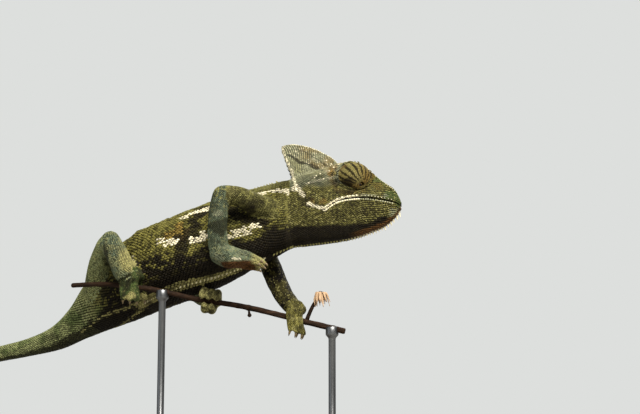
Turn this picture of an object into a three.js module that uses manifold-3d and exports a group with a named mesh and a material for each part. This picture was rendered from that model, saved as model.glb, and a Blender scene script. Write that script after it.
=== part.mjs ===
// Veiled chameleon on a twig, life size. Millimetres, +Z up.
// +X runs toward the snout, +Y to the animal's left side, and the origin is the
// middle of the stand's underside.
import * as THREE from 'three';
import { mergeVertices } from 'three/addons/utils/BufferGeometryUtils.js';
import Module from 'manifold-3d';

const wasm = await Module();
wasm.setup();

// ---------------------------------------------------------------- sizes
const GAP = 0.3;

// Head frame: the nape, level with the mouth, turned left and rolled a little.
const NAPE = [36.0, 4.4, 129.3];
const HEAD_YAW = 18;
const HEAD_ROLL = 8;
const HEAD_END = -4;

// Head sections from snout to nape: x, crown z, then y and z of the brow,
// the cheek, the lip, the jaw and the throat's side, then the keel's z.
const HEAD = [
  [43.4, -2.3, 0.7, -2.3, 1.1, -2.9, 1.2, -3.3, 1.0, -4.3, 0.5, -5.1, -5.3],
  [42.5, -0.8, 1.8, -0.7, 2.7, -1.9, 2.9, -3.1, 2.5, -5.2, 1.3, -6.6, -7.0],
  [40.0, 2.7, 3.0, 2.5, 4.2, 0.3, 4.8, -2.4, 4.0, -6.7, 2.2, -9.4, -10.1],
  [36.0, 5.3, 4.2, 5.0, 5.2, 2.4, 6.0, -2.0, 5.2, -7.9, 2.9, -12.4, -13.3],
  [31.0, 8.5, 5.4, 9.0, 6.2, 4.5, 7.0, -1.9, 6.3, -8.6, 3.4, -14.4, -15.4],
  [26.0, 11.5, 6.2, 12.8, 6.8, 5.8, 7.8, -2.0, 7.2, -9.2, 3.8, -16.2, -17.2],
  [21.0, 13.0, 6.5, 14.0, 7.2, 6.0, 8.5, -2.3, 7.8, -9.8, 4.2, -17.4, -18.5],
  [15.0, 13.2, 6.6, 12.6, 7.9, 5.2, 9.2, -4.3, 8.6, -11.0, 4.7, -18.4, -19.6],
  [8.0, 11.8, 7.4, 9.2, 8.8, 3.4, 9.3, -5.6, 9.2, -12.0, 5.2, -19.2, -20.4],
  [0.0, 9.4, 7.4, 6.4, 8.5, 0.8, 8.9, -5.6, 8.7, -11.6, 5.4, -19.8, -21.3],
  [-4.0, 8.0, 7.0, 5.0, 8.1, -0.4, 8.5, -6.4, 8.3, -12.2, 5.3, -20.0, -22.0],
];
// Line of the mouth from the snout to its corner and down to the throat.
const MOUTH = [
  [46, -5.2], [42.8, -4.5], [40.3, -3.9], [38, -3.5], [34, -3.0], [30, -2.6], [26, -2.6],
  [22.3, -3.0], [19.6, -3.5], [16.8, -4.3], [14.3, -5.8], [11.4, -8.0], [8, -9.4], [5.5, -11.4], [3, -16], [1, -26],
];
const NOSTRIL = [38.6, 4.0, 1.6];
const NOSTRIL_R = 0.55;

// Casque from its foot to its peak: crest x and z, rear corner x, half width, z.
const CASQUE = [
  [18.2, 12.2, -1.0, 8.3, 0.6],
  [16.6, 15.6, -2.6, 7.2, 5.0],
  [13.2, 18.5, -4.3, 5.7, 9.6],
  [8.6, 21.2, -6.0, 4.1, 14.3],
  [3.8, 23.2, -7.4, 2.8, 18.4],
  [-0.8, 24.3, -8.5, 1.7, 21.5],
  [-4.8, 24.7, -8.4, 0.9, 23.7],
];
const CASQUE_HOLLOW = 0.3;
const CREST_THICK = 0.55;

// Eye turrets.
const EYE = [22.3, 5.2, 7.6];
const EYE_LOOK = [0.42, 0.57, -0.71];
const TURRET = [[2.0, 0], [2.0, 5.4], [3.6, 6.1], [5.2, 6.4], [7.2, 6.1], [9.0, 5.2], [10.5, 3.7],
  [11.3, 2.1], [11.6, 0]];
const LID_CONE = [[3.6, 4.4], [5.9, 3.3], [7.0, 2.3], [7.3, 1.7]];
const EYEBALL_R = 1.5;
const EYEBALL_OUT = 5.7;

// Spine from nape to tail base: x, y, z, height above, depth below, half width,
// roll of the back toward the left side.
const SPINE = [
  [32.2, 2.2, 122.6, 15.6, 14.8, 8.5, 8],
  [28.0, 1.0, 121.0, 16.2, 15.2, 8.8, 11],
  [14.6, 0.1, 117.1, 18.8, 17.8, 10.8, 20],
  [-1.8, 0.0, 111.5, 21.8, 19.2, 14.4, 28],
  [-18.5, 0.0, 105.4, 23.2, 17.6, 16.6, 34],
  [-33.1, 0.0, 100.9, 23.0, 17.6, 15.8, 32],
  [-45.4, 0.0, 94.4, 18.6, 15.4, 13.6, 26],
  [-57.8, 0.0, 87.9, 12.3, 13.0, 10.6, 19],
  [-67.8, 0.0, 81.4, 6.5, 10.0, 7.2, 12],
  [-78.8, 0.0, 73.5, 5.7, 5.6, 5.4, 7],
  [-93.2, 0.0, 69.5, 4.2, 4.0, 4.0, 3],
  [-108.9, 0.0, 66.9, 3.6, 3.5, 3.5, 0],
];
const KEEL_POWER = 1.35;
const BELLY_POWER = 0.68;

// Tail beyond the spine table: an ever tighter coil that ends in a fine tip.
const COIL_LENGTH = 112;
const COIL_STEPS = 30;
const COIL_START = 191;
const COIL_SLACK = 0.018;
const COIL_TIGHT = 0.235;
const COIL_R0 = 3.45;
const COIL_R1 = 0.75;
const COIL_DRIFT = 0.05;

// Lengths of the trunk and tail, as ranges along the spine table.
const NECK_END = 1.55;
const TORSO_END = 6.75;
const TAIL_CUTS = [9.0, 11.0, 20.5, 30.5];

// Twig: x, y, z, radius.
const TWIG = [
  [-61.1, -18.4, 93.7, 1.0],
  [-51.2, -18.4, 93.7, 1.02],
  [-42.4, -18.3, 93.3, 1.05],
  [-32.7, -18.1, 91.8, 1.1],
  [-25.9, -17.0, 91.0, 1.1],
  [-18.0, -14.4, 89.4, 1.12],
  [-8.1, -10.6, 86.9, 1.15],
  [-2.1, -8.2, 85.8, 1.15],
  [14.1, -3.0, 82.9, 1.18],
  [29.8, 1.2, 78.9, 1.2],
  [34.7, 2.4, 77.5, 1.2],
  [40.9, 4.0, 75.8, 1.22],
  [55.3, 7.2, 72.0, 1.25],
];

// Dried flower head on the twig.
const FLOWER = { x: 39.2, head: [6.4, 0.4, 11.4], r: 1.35, bracts: 9, spread: 3.9, drop: 5.6 };

// Limb segments: x, y, z, radius along each.
const LIMBS = {
  upper_arm_r: [[28.0, -3.8, 121.9, 5.2], [22.4, -9.6, 125.1, 4.7], [16.4, -15.4, 127.9, 4.3],
    [11.4, -19.0, 128.6, 4.2]],
  forearm_r: [[10.2, -19.2, 129.0, 3.7], [9.6, -20.4, 121.5, 4.1], [9.7, -21.4, 113.0, 4.2],
    [10.4, -21.6, 105.8, 4.3]],
  upper_arm_l: [[16.6, 6.0, 115.0, 5.4], [15.8, 10.2, 110.0, 5.2], [17.4, 12.4, 105.4, 4.7]],
  forearm_l: [[18.2, 12.6, 103.6, 4.6], [22.6, 10.2, 95.4, 4.5], [27.9, 6.6, 88.0, 4.2],
    [32.2, 4.0, 83.6, 3.9]],
  thigh_r: [[-55.4, -5.0, 89.4, 6.4], [-53.4, -9.5, 95.9, 5.8], [-49.0, -15.0, 103.8, 5.1],
    [-43.6, -20.0, 110.0, 4.5]],
  shank_r: [[-41.0, -21.4, 111.8, 4.3], [-37.6, -21.7, 105.7, 4.9], [-34.0, -20.5, 98.2, 5.2]],
  thigh_l: [[-55.4, 5.0, 90.0, 6.2], [-45.0, 13.8, 93.8, 5.6], [-34.6, 18.4, 97.4, 4.9]],
  shank_l: [[-32.2, 18.2, 97.4, 4.7], [-20.0, 12.6, 94.0, 4.6], [-8.0, 1.6, 88.4, 3.9]],
};

// Gripping feet: place along the twig, palm's bearing around it, palm height,
// toe radius, toe spacing, toe counts of the two bundles, how far the tips lean
// along the twig, and each toe's path as turns from the palm with distances
// from the twig's middle.
const FEET = {
  hand_l: { x: 34.2, palm: 88, lift: 4.4, toeR: 1.6, pitch: 2.5, near: 3, far: 2, lean: 3.4,
    path: [[15, 4.6], [45, 4.3], [75, 3.5], [98, 3.8], [119, 5.4], [132, 7.1]], claw: [146, 9.1] },
  foot_r: { x: -32.0, palm: 98, lift: 4.8, toeR: 1.85, pitch: 3.0, near: 3, far: 2, lean: 2.2,
    path: [[15, 4.9], [45, 4.7], [72, 4.0], [95, 4.2], [116, 5.5], [129, 7.1]], claw: [142, 9.0] },
  foot_l: { x: -0.3, palm: 5, lift: 5.2, toeR: 1.95, pitch: 3.1, near: 3, far: 2, lean: 0,
    path: [[18, 4.8], [50, 4.2], [80, 3.8], [108, 3.7], [132, 3.7], [148, 3.7]], claw: [172, 3.3] },
};
const CLAW_R = 0.65;

// Free hand, relaxed: palm centre, reach of the fingers and their tips.
const HAND_R = {
  palm: [[11.2, -21.4, 103.2, 4.7], [15.6, -21.0, 101.6, 4.9], [20.0, -20.4, 101.0, 3.9]],
  fingers: [
    [[18.0, -22.6, 103.0, 1.9], [23.0, -22.4, 102.4, 1.7], [27.4, -21.8, 100.6, 1.3], [29.4, -21.4, 99.4, 0.9]],
    [[18.0, -22.6, 100.6, 1.9], [22.6, -22.6, 99.8, 1.6], [26.6, -22.2, 98.9, 1.2], [28.4, -21.8, 98.2, 0.9]],
    [[18.0, -18.6, 103.0, 1.8], [23.4, -18.2, 102.0, 1.6], [28.2, -18.2, 100.0, 1.2], [30.0, -18.4, 98.6, 0.9]],
    [[18.0, -18.2, 100.8, 1.8], [23.0, -17.8, 99.6, 1.6], [27.4, -17.8, 98.2, 1.2], [29.0, -18.0, 97.4, 0.9]],
    [[17.4, -18.6, 98.8, 1.7], [21.6, -18.0, 97.8, 1.5], [25.4, -18.0, 96.8, 1.1], [27.0, -18.2, 96.2, 0.9]],
  ],
  claw: [1.4, -0.1, -1.3],
};

// Crests: cone height and base radius at the ends of each run, and spacing.
const GULAR = { pitch: 1.5, high: 2.1, low: 1.1, r: 0.62 };
const VENTRAL = { pitch: 2.3, high: 1.1, low: 0.6, r: 0.7 };
const DORSAL = { pitch: 2.6, high: 1.3, low: 0.6, r: 0.65 };

// Stand.
const BASE = { long: 150, wide: 80, thick: 8, corner: 12, bevel: 0.8 };
const RODS = { stand_rod_rear: -19.0, stand_rod_front: 50.0 };
const ROD_R = 1.5;
const ROD_CUP_R = 2.7;
const ROD_FOOT_R = 4.2;

// ---------------------------------------------------------------- helpers
const V = (x, y, z) => new THREE.Vector3(x, y, z);
const rad = THREE.MathUtils.degToRad;
const lerp = THREE.MathUtils.lerp;

function seeded(seed) {
  let state = seed;
  return () => {
    state = (state * 1664525 + 1013904223) % 4294967296;
    return state / 4294967296;
  };
}

// Smooth values between the rows of a table; t counts rows from the first.
function along(rows, t) {
  const i = Math.min(Math.max(Math.floor(t), 0), rows.length - 2);
  const f = t - i;
  const before = rows[Math.max(i - 1, 0)];
  const after = rows[Math.min(i + 2, rows.length - 1)];
  return rows[i].map((b, k) => {
    const c = rows[i + 1][k];
    const a = i > 0 ? before[k] : 2 * b - c;
    const d = i < rows.length - 2 ? after[k] : 2 * c - b;
    return b + 0.5 * f * (c - a + f * (2 * a - 5 * b + 4 * c - d + f * (3 * (b - c) + d - a)));
  });
}

// Closed solid through rings of equal count, each end closed by a fan.
function loft(rings) {
  const n = rings[0].length;
  const last = rings.length - 1;
  const points = rings.flat();
  const middle = (ring) => ring.reduce((sum, p) => sum.add(p), V(0, 0, 0)).divideScalar(n);
  points.push(middle(rings[0]), middle(rings[last]));
  const index = [];
  for (let i = 0; i < n; i += 1) {
    const j = (i + 1) % n;
    index.push(points.length - 2, j, i);
    index.push(points.length - 1, last * n + i, last * n + j);
    for (let k = 0; k < last; k += 1) {
      index.push(k * n + i, k * n + j, (k + 1) * n + i);
      index.push(k * n + j, (k + 1) * n + j, (k + 1) * n + i);
    }
  }
  const geometry = new THREE.BufferGeometry().setFromPoints(points);
  geometry.setIndex(index);
  return solid(geometry);
}

// Manifold solid of a closed geometry, turned outside out if need be.
function solid(geometry) {
  const bare = new THREE.BufferGeometry();
  bare.setAttribute('position', geometry.getAttribute('position'));
  bare.setIndex(geometry.getIndex());
  const merged = mergeVertices(bare, 1e-5);
  const position = merged.getAttribute('position');
  const index = merged.getIndex().array;
  const at = (i) => V(position.getX(i), position.getY(i), position.getZ(i));
  let volume = 0;
  for (let i = 0; i < index.length; i += 3) {
    volume += at(index[i]).dot(at(index[i + 1]).cross(at(index[i + 2])));
  }
  const triVerts = Uint32Array.from(index);
  if (volume < 0) {
    for (let i = 0; i < triVerts.length; i += 3) {
      triVerts[i] = index[i + 1];
      triVerts[i + 1] = index[i];
    }
  }
  const vertProperties = Float32Array.from(position.array);
  return new wasm.Manifold(new wasm.Mesh({ numProp: 3, vertProperties, triVerts }));
}

function largest(manifold) {
  return manifold.decompose().reduce((a, b) => (a.volume() >= b.volume() ? a : b));
}

function joined(solids) {
  return solids.reduce((a, b) => a.add(b));
}

// Round-ended tube through rows of x, y, z, radius.
function tube(rows, sides = 12, steps = 8, grow = 0) {
  const rings = [];
  const span = rows.length - 1;
  const point = (t) => V(...along(rows, t).slice(0, 3));
  let across = V(0, 1, 0);
  const ringAt = (t, slide, scale) => {
    const ahead = point(Math.min(t + 0.02, span)).sub(point(Math.max(t - 0.02, 0))).normalize();
    across = across.clone().addScaledVector(ahead, -across.dot(ahead)).normalize();
    const up = ahead.clone().cross(across);
    const r = along(rows, t)[3] + grow;
    const centre = point(t).addScaledVector(ahead, slide * r);
    const ring = [];
    for (let i = 0; i < sides; i += 1) {
      const a = (2 * Math.PI * i) / sides;
      ring.push(centre.clone().addScaledVector(across, r * scale * Math.cos(a))
        .addScaledVector(up, r * scale * Math.sin(a)));
    }
    rings.push(ring);
  };
  ringAt(0, -0.85, 0.5);
  for (let k = 0; k <= steps; k += 1) {
    ringAt((span * k) / steps, 0, 1);
  }
  ringAt(span, 0.85, 0.5);
  return loft(rings);
}

// Solid of revolution about an axis, from pairs of height and radius.
function turned(profile, origin, axis, sides = 24) {
  const points = profile.map(([h, r]) => new THREE.Vector2(r, h));
  if (points[0].x > 0) {
    points.unshift(new THREE.Vector2(0, points[0].y));
  }
  if (points[points.length - 1].x > 0) {
    points.push(new THREE.Vector2(0, points[points.length - 1].y));
  }
  const geometry = new THREE.LatheGeometry(points, sides);
  const turn = new THREE.Quaternion().setFromUnitVectors(V(0, 1, 0), axis.clone().normalize());
  geometry.applyQuaternion(turn);
  geometry.translate(origin.x, origin.y, origin.z);
  return solid(geometry);
}

function ball(centre, r, widthSegments = 16, heightSegments = 10) {
  const geometry = new THREE.SphereGeometry(r, widthSegments, heightSegments);
  geometry.translate(centre.x, centre.y, centre.z);
  return solid(geometry);
}

// Pointed cone, its foot sunk below the point it grows from.
function spike(foot, direction, height, r, sides = 5) {
  return turned([[-0.7, r * 1.3], [height, 0]], foot, direction, sides);
}

// Curved claw through three rows of x, y, z, radius, ending in a point.
function claw(rows, grow = 0) {
  const rings = [];
  const run = V(...rows[2].slice(0, 3)).sub(V(...rows[0].slice(0, 3))).normalize();
  const across = V(0.3, 1, 0.2).addScaledVector(run, -run.dot(V(0.3, 1, 0.2))).normalize();
  const up = run.clone().cross(across);
  for (const [x, y, z, r] of rows) {
    const ring = [];
    for (let i = 0; i < 5; i += 1) {
      const a = (2 * Math.PI * i) / 5;
      ring.push(V(x, y, z).addScaledVector(across, (r + grow) * Math.cos(a))
        .addScaledVector(up, (r + grow) * Math.sin(a)));
    }
    rings.push(ring);
  }
  return loft(rings);
}

// ---------------------------------------------------------------- head
const yaw = rad(HEAD_YAW);
const roll = rad(HEAD_ROLL);
const forward = V(Math.cos(yaw), Math.sin(yaw), 0);
const sideways = V(-Math.sin(yaw), Math.cos(yaw), 0);
const headLeft = sideways.clone().multiplyScalar(Math.cos(roll)).addScaledVector(V(0, 0, 1), -Math.sin(roll));
const headUp = V(0, 0, Math.cos(roll)).addScaledVector(sideways, Math.sin(roll));

function headVector(x, y, z) {
  return forward.clone().multiplyScalar(x).addScaledVector(headLeft, y).addScaledVector(headUp, z);
}

function headPoint(x, y, z) {
  return headVector(x, y, z).add(V(...NAPE));
}

// Closed outline of the head at one row of the table, in y and z.
function headOutline(row, grow) {
  const [, crown, by, bz, cy, cz, ly, lz, jy, jz, ty, tz, keel] = row;
  const half = [[by, bz], [cy, cz], [ly, lz], [jy, jz], [ty, tz]];
  const corners = [[0, crown], ...half, [0, keel], ...half.map(([y, z]) => [-y, z]).reverse()];
  const n = corners.length;
  const middle = (crown + keel) / 2;
  const outline = [];
  for (let k = 0; k < n * 2; k += 1) {
    const i = Math.floor(k / 2);
    const four = [-1, 0, 1, 2].map((d) => corners[(i + d + n) % n]);
    const [y, z] = along(four, 1 + (k % 2) / 2);
    const reach = Math.hypot(y, z - middle);
    const scale = 1 + grow / reach;
    outline.push([y * scale, middle + (z - middle) * scale]);
  }
  return outline;
}

function headSolid(grow = 0) {
  const rings = [];
  const steps = 15;
  for (let k = 0; k <= steps; k += 1) {
    const row = along(HEAD, ((HEAD.length - 1) * k) / steps);
    const x = row[0] + (k === 0 ? grow : 0) - (k === steps ? grow : 0);
    rings.push(headOutline(row, grow).map(([y, z]) => headPoint(x, y, z)));
  }
  return loft(rings);
}

// Thin curved blade that follows the line of the mouth through the head.
function mouthBlade() {
  const shape = new THREE.Shape();
  const edge = (shift) => MOUTH.map(([x, z], i) => {
    const [x0, z0] = MOUTH[Math.max(i - 1, 0)];
    const [x1, z1] = MOUTH[Math.min(i + 1, MOUTH.length - 1)];
    const long = Math.hypot(x1 - x0, z1 - z0);
    return new THREE.Vector2(x - (shift * (z1 - z0)) / long, z + (shift * (x1 - x0)) / long);
  });
  shape.setFromPoints([...edge(GAP / 2), ...edge(-GAP / 2).reverse()]);
  const geometry = new THREE.ExtrudeGeometry(shape, { depth: 30, bevelEnabled: false });
  const basis = new THREE.Matrix4().makeBasis(forward, headUp, headLeft.clone().negate());
  geometry.applyMatrix4(basis.setPosition(headPoint(0, 15, 0)));
  return solid(geometry);
}

function casqueSolid(grow = 0) {
  const rings = [];
  const steps = 9;
  for (let k = 0; k <= steps; k += 1) {
    const [xf, zf, xr, wide, zr] = along(CASQUE, ((CASQUE.length - 1) * k) / steps);
    const half = [0.04, 0.18, 0.45, 0.74, 1].map((t) => {
      const y = wide * t ** 1.12 + CREST_THICK * (1 - t);
      return [lerp(xf, xr, t) - grow * t, y + grow, lerp(zf, zr, t)];
    });
    const back = (f) => [xr + CASQUE_HOLLOW * wide * (1 - f * f) - grow, wide * f, zr + 0.1 * wide * (1 - f)];
    half.push(back(0.66), back(0.33));
    const mirror = half.map(([x, y, z]) => [x, -y, z]).reverse();
    const outline = [[xf + grow, 0, zf], ...half, back(0), ...mirror];
    rings.push(outline.map(([x, y, z]) => headPoint(x, y, z)));
  }
  return loft(rings);
}

// ---------------------------------------------------------------- spine
// The spine table carried on through the coil of the tail.
function wholeSpine() {
  const rows = SPINE.map((row) => row.slice());
  let [x, y, z] = rows[rows.length - 1];
  let heading = rad(COIL_START);
  const step = COIL_LENGTH / COIL_STEPS;
  const fine = 20;
  for (let k = 1; k <= COIL_STEPS; k += 1) {
    for (let j = 0; j < fine; j += 1) {
      const u = (k - 1 + (j + 0.5) / fine) / COIL_STEPS;
      const bend = COIL_SLACK + (COIL_TIGHT - COIL_SLACK) * u * u;
      heading += (bend * step) / fine;
      x += (Math.cos(heading) * step) / fine;
      z += (Math.sin(heading) * step) / fine;
      y += (COIL_DRIFT * step) / fine;
    }
    const r = lerp(COIL_R0, COIL_R1, (k / COIL_STEPS) ** 0.85);
    rows.push([x, y, z, r * 1.04, r, r * 0.96, 0]);
  }
  return rows;
}
const spineRows = wholeSpine();
const SPINE_END = spineRows.length - 1;

// Middle, directions and sizes of the body at a place along the spine.
function station(t) {
  const [x, y, z, up, down, wide, tilt] = along(spineRows, t);
  const a = along(spineRows, Math.max(t - 0.05, 0));
  const b = along(spineRows, Math.min(t + 0.05, SPINE_END));
  const ahead = V(a[0] - b[0], a[1] - b[1], a[2] - b[2]).normalize();
  const turn = THREE.MathUtils.clamp(1 - t / 0.9, 0, 1);
  ahead.lerp(forward, turn).normalize();
  const flat = V(0, 1, 0).addScaledVector(ahead, -ahead.y).normalize();
  const rise = ahead.clone().cross(flat);
  const lean = rad(tilt);
  const left = flat.clone().multiplyScalar(Math.cos(lean)).addScaledVector(rise, -Math.sin(lean));
  const top = rise.clone().multiplyScalar(Math.cos(lean)).addScaledVector(flat, Math.sin(lean));
  return { centre: V(x, y, z), ahead, left, top, up, down, wide };
}

function bodyPoint(s, angle, grow = 0) {
  const c = Math.cos(angle);
  const h = Math.sin(angle);
  const power = h > 0 ? KEEL_POWER : BELLY_POWER;
  const y = (s.wide + grow) * Math.sign(c) * Math.abs(c) ** power;
  const z = h > 0 ? (s.up + grow) * h : (s.down + grow) * h;
  return s.centre.clone().addScaledVector(s.left, y).addScaledVector(s.top, z);
}

// Length of the body between two places, both ends flat.
function length(from, to, steps, sides, grow = 0) {
  const rings = [];
  for (let k = 0; k <= steps; k += 1) {
    const s = station(lerp(from, to, k / steps));
    if (k === 0) {
      s.centre.addScaledVector(s.ahead, grow);
    }
    if (k === steps) {
      s.centre.addScaledVector(s.ahead, -grow);
    }
    const ring = [];
    for (let i = 0; i < sides; i += 1) {
      ring.push(bodyPoint(s, (2 * Math.PI * (i + 0.5)) / sides, grow));
    }
    rings.push(ring);
  }
  return loft(rings);
}

// The same place moved back along the spine by the gap.
function past(t) {
  const a = V(...along(spineRows, t).slice(0, 3));
  const b = V(...along(spineRows, t + 0.01).slice(0, 3));
  return t + (0.01 * GAP) / a.distanceTo(b);
}

// Row of cones along the keel of the back (+1) or the belly (-1).
function bodyCrest(from, to, crest, side, random, growAt) {
  const cones = [];
  let t = from;
  while (t < to) {
    const s = station(t);
    const root = bodyPoint(s, (side * Math.PI) / 2);
    const out = s.top.clone().multiplyScalar(side).addScaledVector(s.ahead, -0.25);
    const height = growAt(t) * (0.85 + 0.3 * random());
    cones.push(spike(root, out, height, Math.min(crest.r, 0.35 + height * 0.4)));
    const next = V(...along(spineRows, t + 0.01).slice(0, 3));
    t += (0.01 * crest.pitch * (0.9 + 0.2 * random())) / s.centre.distanceTo(next);
  }
  return cones;
}

// ---------------------------------------------------------------- feet
function twigFrame(x) {
  let t = 0;
  while (t < TWIG.length - 1 && along(TWIG, t)[0] < x) {
    t += 0.01;
  }
  const a = along(TWIG, t - 0.05);
  const b = along(TWIG, t + 0.05);
  const run = V(b[0] - a[0], b[1] - a[1], b[2] - a[2]).normalize();
  const left = V(0, 1, 0).addScaledVector(run, -run.y).normalize();
  const up = run.clone().cross(left);
  return { centre: V(...along(TWIG, t).slice(0, 3)), run, left, up };
}

function footSolid(spec, grow = 0) {
  const frame = twigFrame(spec.x);
  const place = (bearing, reach, shift) => {
    const a = rad(bearing);
    return frame.centre.clone().addScaledVector(frame.left, reach * Math.cos(a))
      .addScaledVector(frame.up, reach * Math.sin(a)).addScaledVector(frame.run, shift);
  };
  const row = (p, r) => [p.x, p.y, p.z, r];
  const wide = spec.pitch * 0.75;
  const parts = [
    tube([row(place(spec.palm, spec.lift, -wide), 2.5), row(place(spec.palm, spec.lift + 0.6, 0), 3.2),
      row(place(spec.palm, spec.lift, wide), 2.5)], 10, 3, grow),
  ];
  for (const [count, turn] of [[spec.near, 1], [spec.far, -1]]) {
    for (let i = 0; i < count; i += 1) {
      const shift = (i - (count - 1) / 2) * spec.pitch;
      const rows = spec.path.map(([bearing, reach], k) => {
        const p = place(spec.palm + turn * bearing, reach, shift * (0.84 + 0.04 * k) + spec.lean * (k / 5) ** 2);
        return row(p, spec.toeR * (1.06 - 0.055 * k));
      });
      parts.push(tube(rows, 6, 5, grow));
      const tip = rows[rows.length - 1];
      const end = place(spec.palm + turn * spec.claw[0], spec.claw[1], shift * 1.05 + spec.lean);
      const bend = V(...tip.slice(0, 3)).lerp(end, 0.5);
      bend.addScaledVector(V(...tip.slice(0, 3)).sub(frame.centre).normalize(), 0.25);
      parts.push(claw([tip.slice(0, 3).concat(CLAW_R), row(bend, CLAW_R * 0.75), row(end, 0.12)], grow));
    }
  }
  return joined(parts);
}

function freeHand(grow = 0) {
  const parts = [tube(HAND_R.palm, 12, 4, grow)];
  for (const finger of HAND_R.fingers) {
    parts.push(tube(finger, 6, 4, grow));
    const [x, y, z, r] = finger[finger.length - 1];
    const [dx, dy, dz] = HAND_R.claw;
    parts.push(claw([[x, y, z, CLAW_R], [x + dx * 0.65, y + dy, z + dz * 0.4, CLAW_R * 0.75],
      [x + dx, y + dy, z + dz * r, 0.12]], grow));
  }
  return joined(parts);
}

// ---------------------------------------------------------------- twig and stand
function twigSolid(grow = 0) {
  const rings = [];
  const steps = 20;
  const sides = 7;
  for (let k = 0; k <= steps; k += 1) {
    const t = ((TWIG.length - 1) * k) / steps;
    const here = along(TWIG, t);
    const a = along(TWIG, Math.max(t - 0.05, 0));
    const b = along(TWIG, Math.min(t + 0.05, TWIG.length - 1));
    const run = V(b[0] - a[0], b[1] - a[1], b[2] - a[2]).normalize();
    const left = V(0, 1, 0).addScaledVector(run, -run.y).normalize();
    const up = run.clone().cross(left);
    const r = here[3] * (1 + 0.05 * Math.sin(k * 1.7)) + grow;
    const ring = [];
    for (let i = 0; i < sides; i += 1) {
      const angle = (2 * Math.PI * i) / sides;
      ring.push(V(...here.slice(0, 3)).addScaledVector(left, r * Math.cos(angle))
        .addScaledVector(up, r * Math.sin(angle)));
    }
    rings.push(ring);
  }
  return loft(rings);
}

// Dried flower head with drooping bracts on a short spur, and a bud below the twig.
function twigGrowths(random) {
  const parts = [];
  const root = twigFrame(FLOWER.x).centre;
  const head = root.clone().add(V(...FLOWER.head));
  const knee = root.clone().lerp(head, 0.5).add(V(-0.4, 0, 0.4));
  parts.push(tube([[root.x, root.y, root.z, 0.9], [knee.x, knee.y, knee.z, 0.85], [head.x, head.y, head.z, 0.8]],
    6, 3));
  parts.push(ball(head, FLOWER.r, 8, 5));
  for (let i = 0; i < FLOWER.bracts; i += 1) {
    const a = (2 * Math.PI * (i + 0.3 * random())) / FLOWER.bracts;
    const side = V(Math.cos(a), Math.sin(a), 0);
    const bow = head.clone().addScaledVector(side, 0.62 * FLOWER.spread).add(V(0.3, 0, 0.5));
    const tip = head.clone().addScaledVector(side, FLOWER.spread * (0.75 + 0.4 * random()));
    tip.add(V(0.8, 0, -FLOWER.drop * (0.6 + 0.5 * random())));
    parts.push(claw([[head.x, head.y, head.z + 0.6, 0.6], [bow.x, bow.y, bow.z, 0.5], [tip.x, tip.y, tip.z, 0.27]]));
  }
  const bud = twigFrame(15.6).centre;
  parts.push(tube([[bud.x, bud.y, bud.z, 0.6], [bud.x + 0.4, bud.y - 0.3, bud.z - 2.2, 0.55],
    [bud.x + 0.6, bud.y - 0.4, bud.z - 3.2, 0.95]], 6, 3));
  return parts;
}

function standBase() {
  const { long, wide, thick, corner, bevel } = BASE;
  const shape = new THREE.Shape();
  const hx = long / 2 - bevel;
  const hy = wide / 2 - bevel;
  shape.moveTo(-hx + corner, -hy);
  shape.lineTo(hx - corner, -hy);
  shape.absarc(hx - corner, -hy + corner, corner, -Math.PI / 2, 0);
  shape.absarc(hx - corner, hy - corner, corner, 0, Math.PI / 2);
  shape.absarc(-hx + corner, hy - corner, corner, Math.PI / 2, Math.PI);
  shape.absarc(-hx + corner, -hy + corner, corner, Math.PI, 1.5 * Math.PI);
  const geometry = new THREE.ExtrudeGeometry(shape, {
    depth: thick - 2 * bevel, bevelThickness: bevel, bevelSize: bevel, bevelSegments: 1, curveSegments: 4,
  });
  geometry.translate(0, 0, bevel);
  return solid(geometry);
}

function rodSolid(x, twigCut) {
  const { centre } = twigFrame(x);
  const low = BASE.thick + GAP;
  const high = centre.z + 0.5 - low;
  const profile = [[0, ROD_FOOT_R], [1.2, ROD_FOOT_R], [2.4, ROD_R], [high - 5, ROD_R], [high - 3.4, ROD_CUP_R],
    [high, ROD_CUP_R]];
  return largest(turned(profile, V(centre.x, centre.y, low), V(0, 0, 1), 12).subtract(twigCut));
}

// ---------------------------------------------------------------- assembly
const random = seeded(20);
const solids = {};

const headWhole = headSolid();
const turret = (side, grow) => {
  const axis = headVector(0, side, 0);
  const base = TURRET.map(([h, r], i) => [h + (i < 2 ? -grow : 0), r > 0 ? r + grow : 0]);
  base[base.length - 1][0] += grow;
  const look = headVector(EYE_LOOK[0], EYE_LOOK[1] * side, EYE_LOOK[2]).normalize();
  const centre = headPoint(EYE[0], EYE[1] * side, EYE[2]);
  const dome = turned(base, headPoint(EYE[0], 0, EYE[2]), axis, 16);
  const cone = turned(LID_CONE.map(([h, r]) => [h + grow, r + grow]), centre, look, 11);
  return { shell: dome.add(cone), pupil: centre.addScaledVector(look, EYEBALL_OUT) };
};
const turretCuts = joined([turret(1, GAP).shell, turret(-1, GAP).shell]);
const nostrils = joined([1, -1].map((side) => ball(headPoint(NOSTRIL[0], NOSTRIL[1] * side, NOSTRIL[2]), NOSTRIL_R,
  10, 6)));
const pieces = headWhole.subtract(mouthBlade()).decompose().sort((a, b) => b.volume() - a.volume());
const [skull, jaw] = pieces.slice(0, 2).sort((a, b) => b.boundingBox().max[2] - a.boundingBox().max[2]);
solids.head = largest(skull.subtract(turretCuts).subtract(nostrils));
solids.casque = largest(casqueSolid().subtract(headSolid(GAP)).subtract(turretCuts));
for (const [name, side] of [['l', 1], ['r', -1]]) {
  const { shell, pupil } = turret(side, 0);
  solids[`eye_turret_${name}`] = largest(shell.subtract(ball(pupil, EYEBALL_R + GAP, 12, 8)));
  solids[`eyeball_${name}`] = ball(pupil, EYEBALL_R, 12, 8);
}

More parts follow.
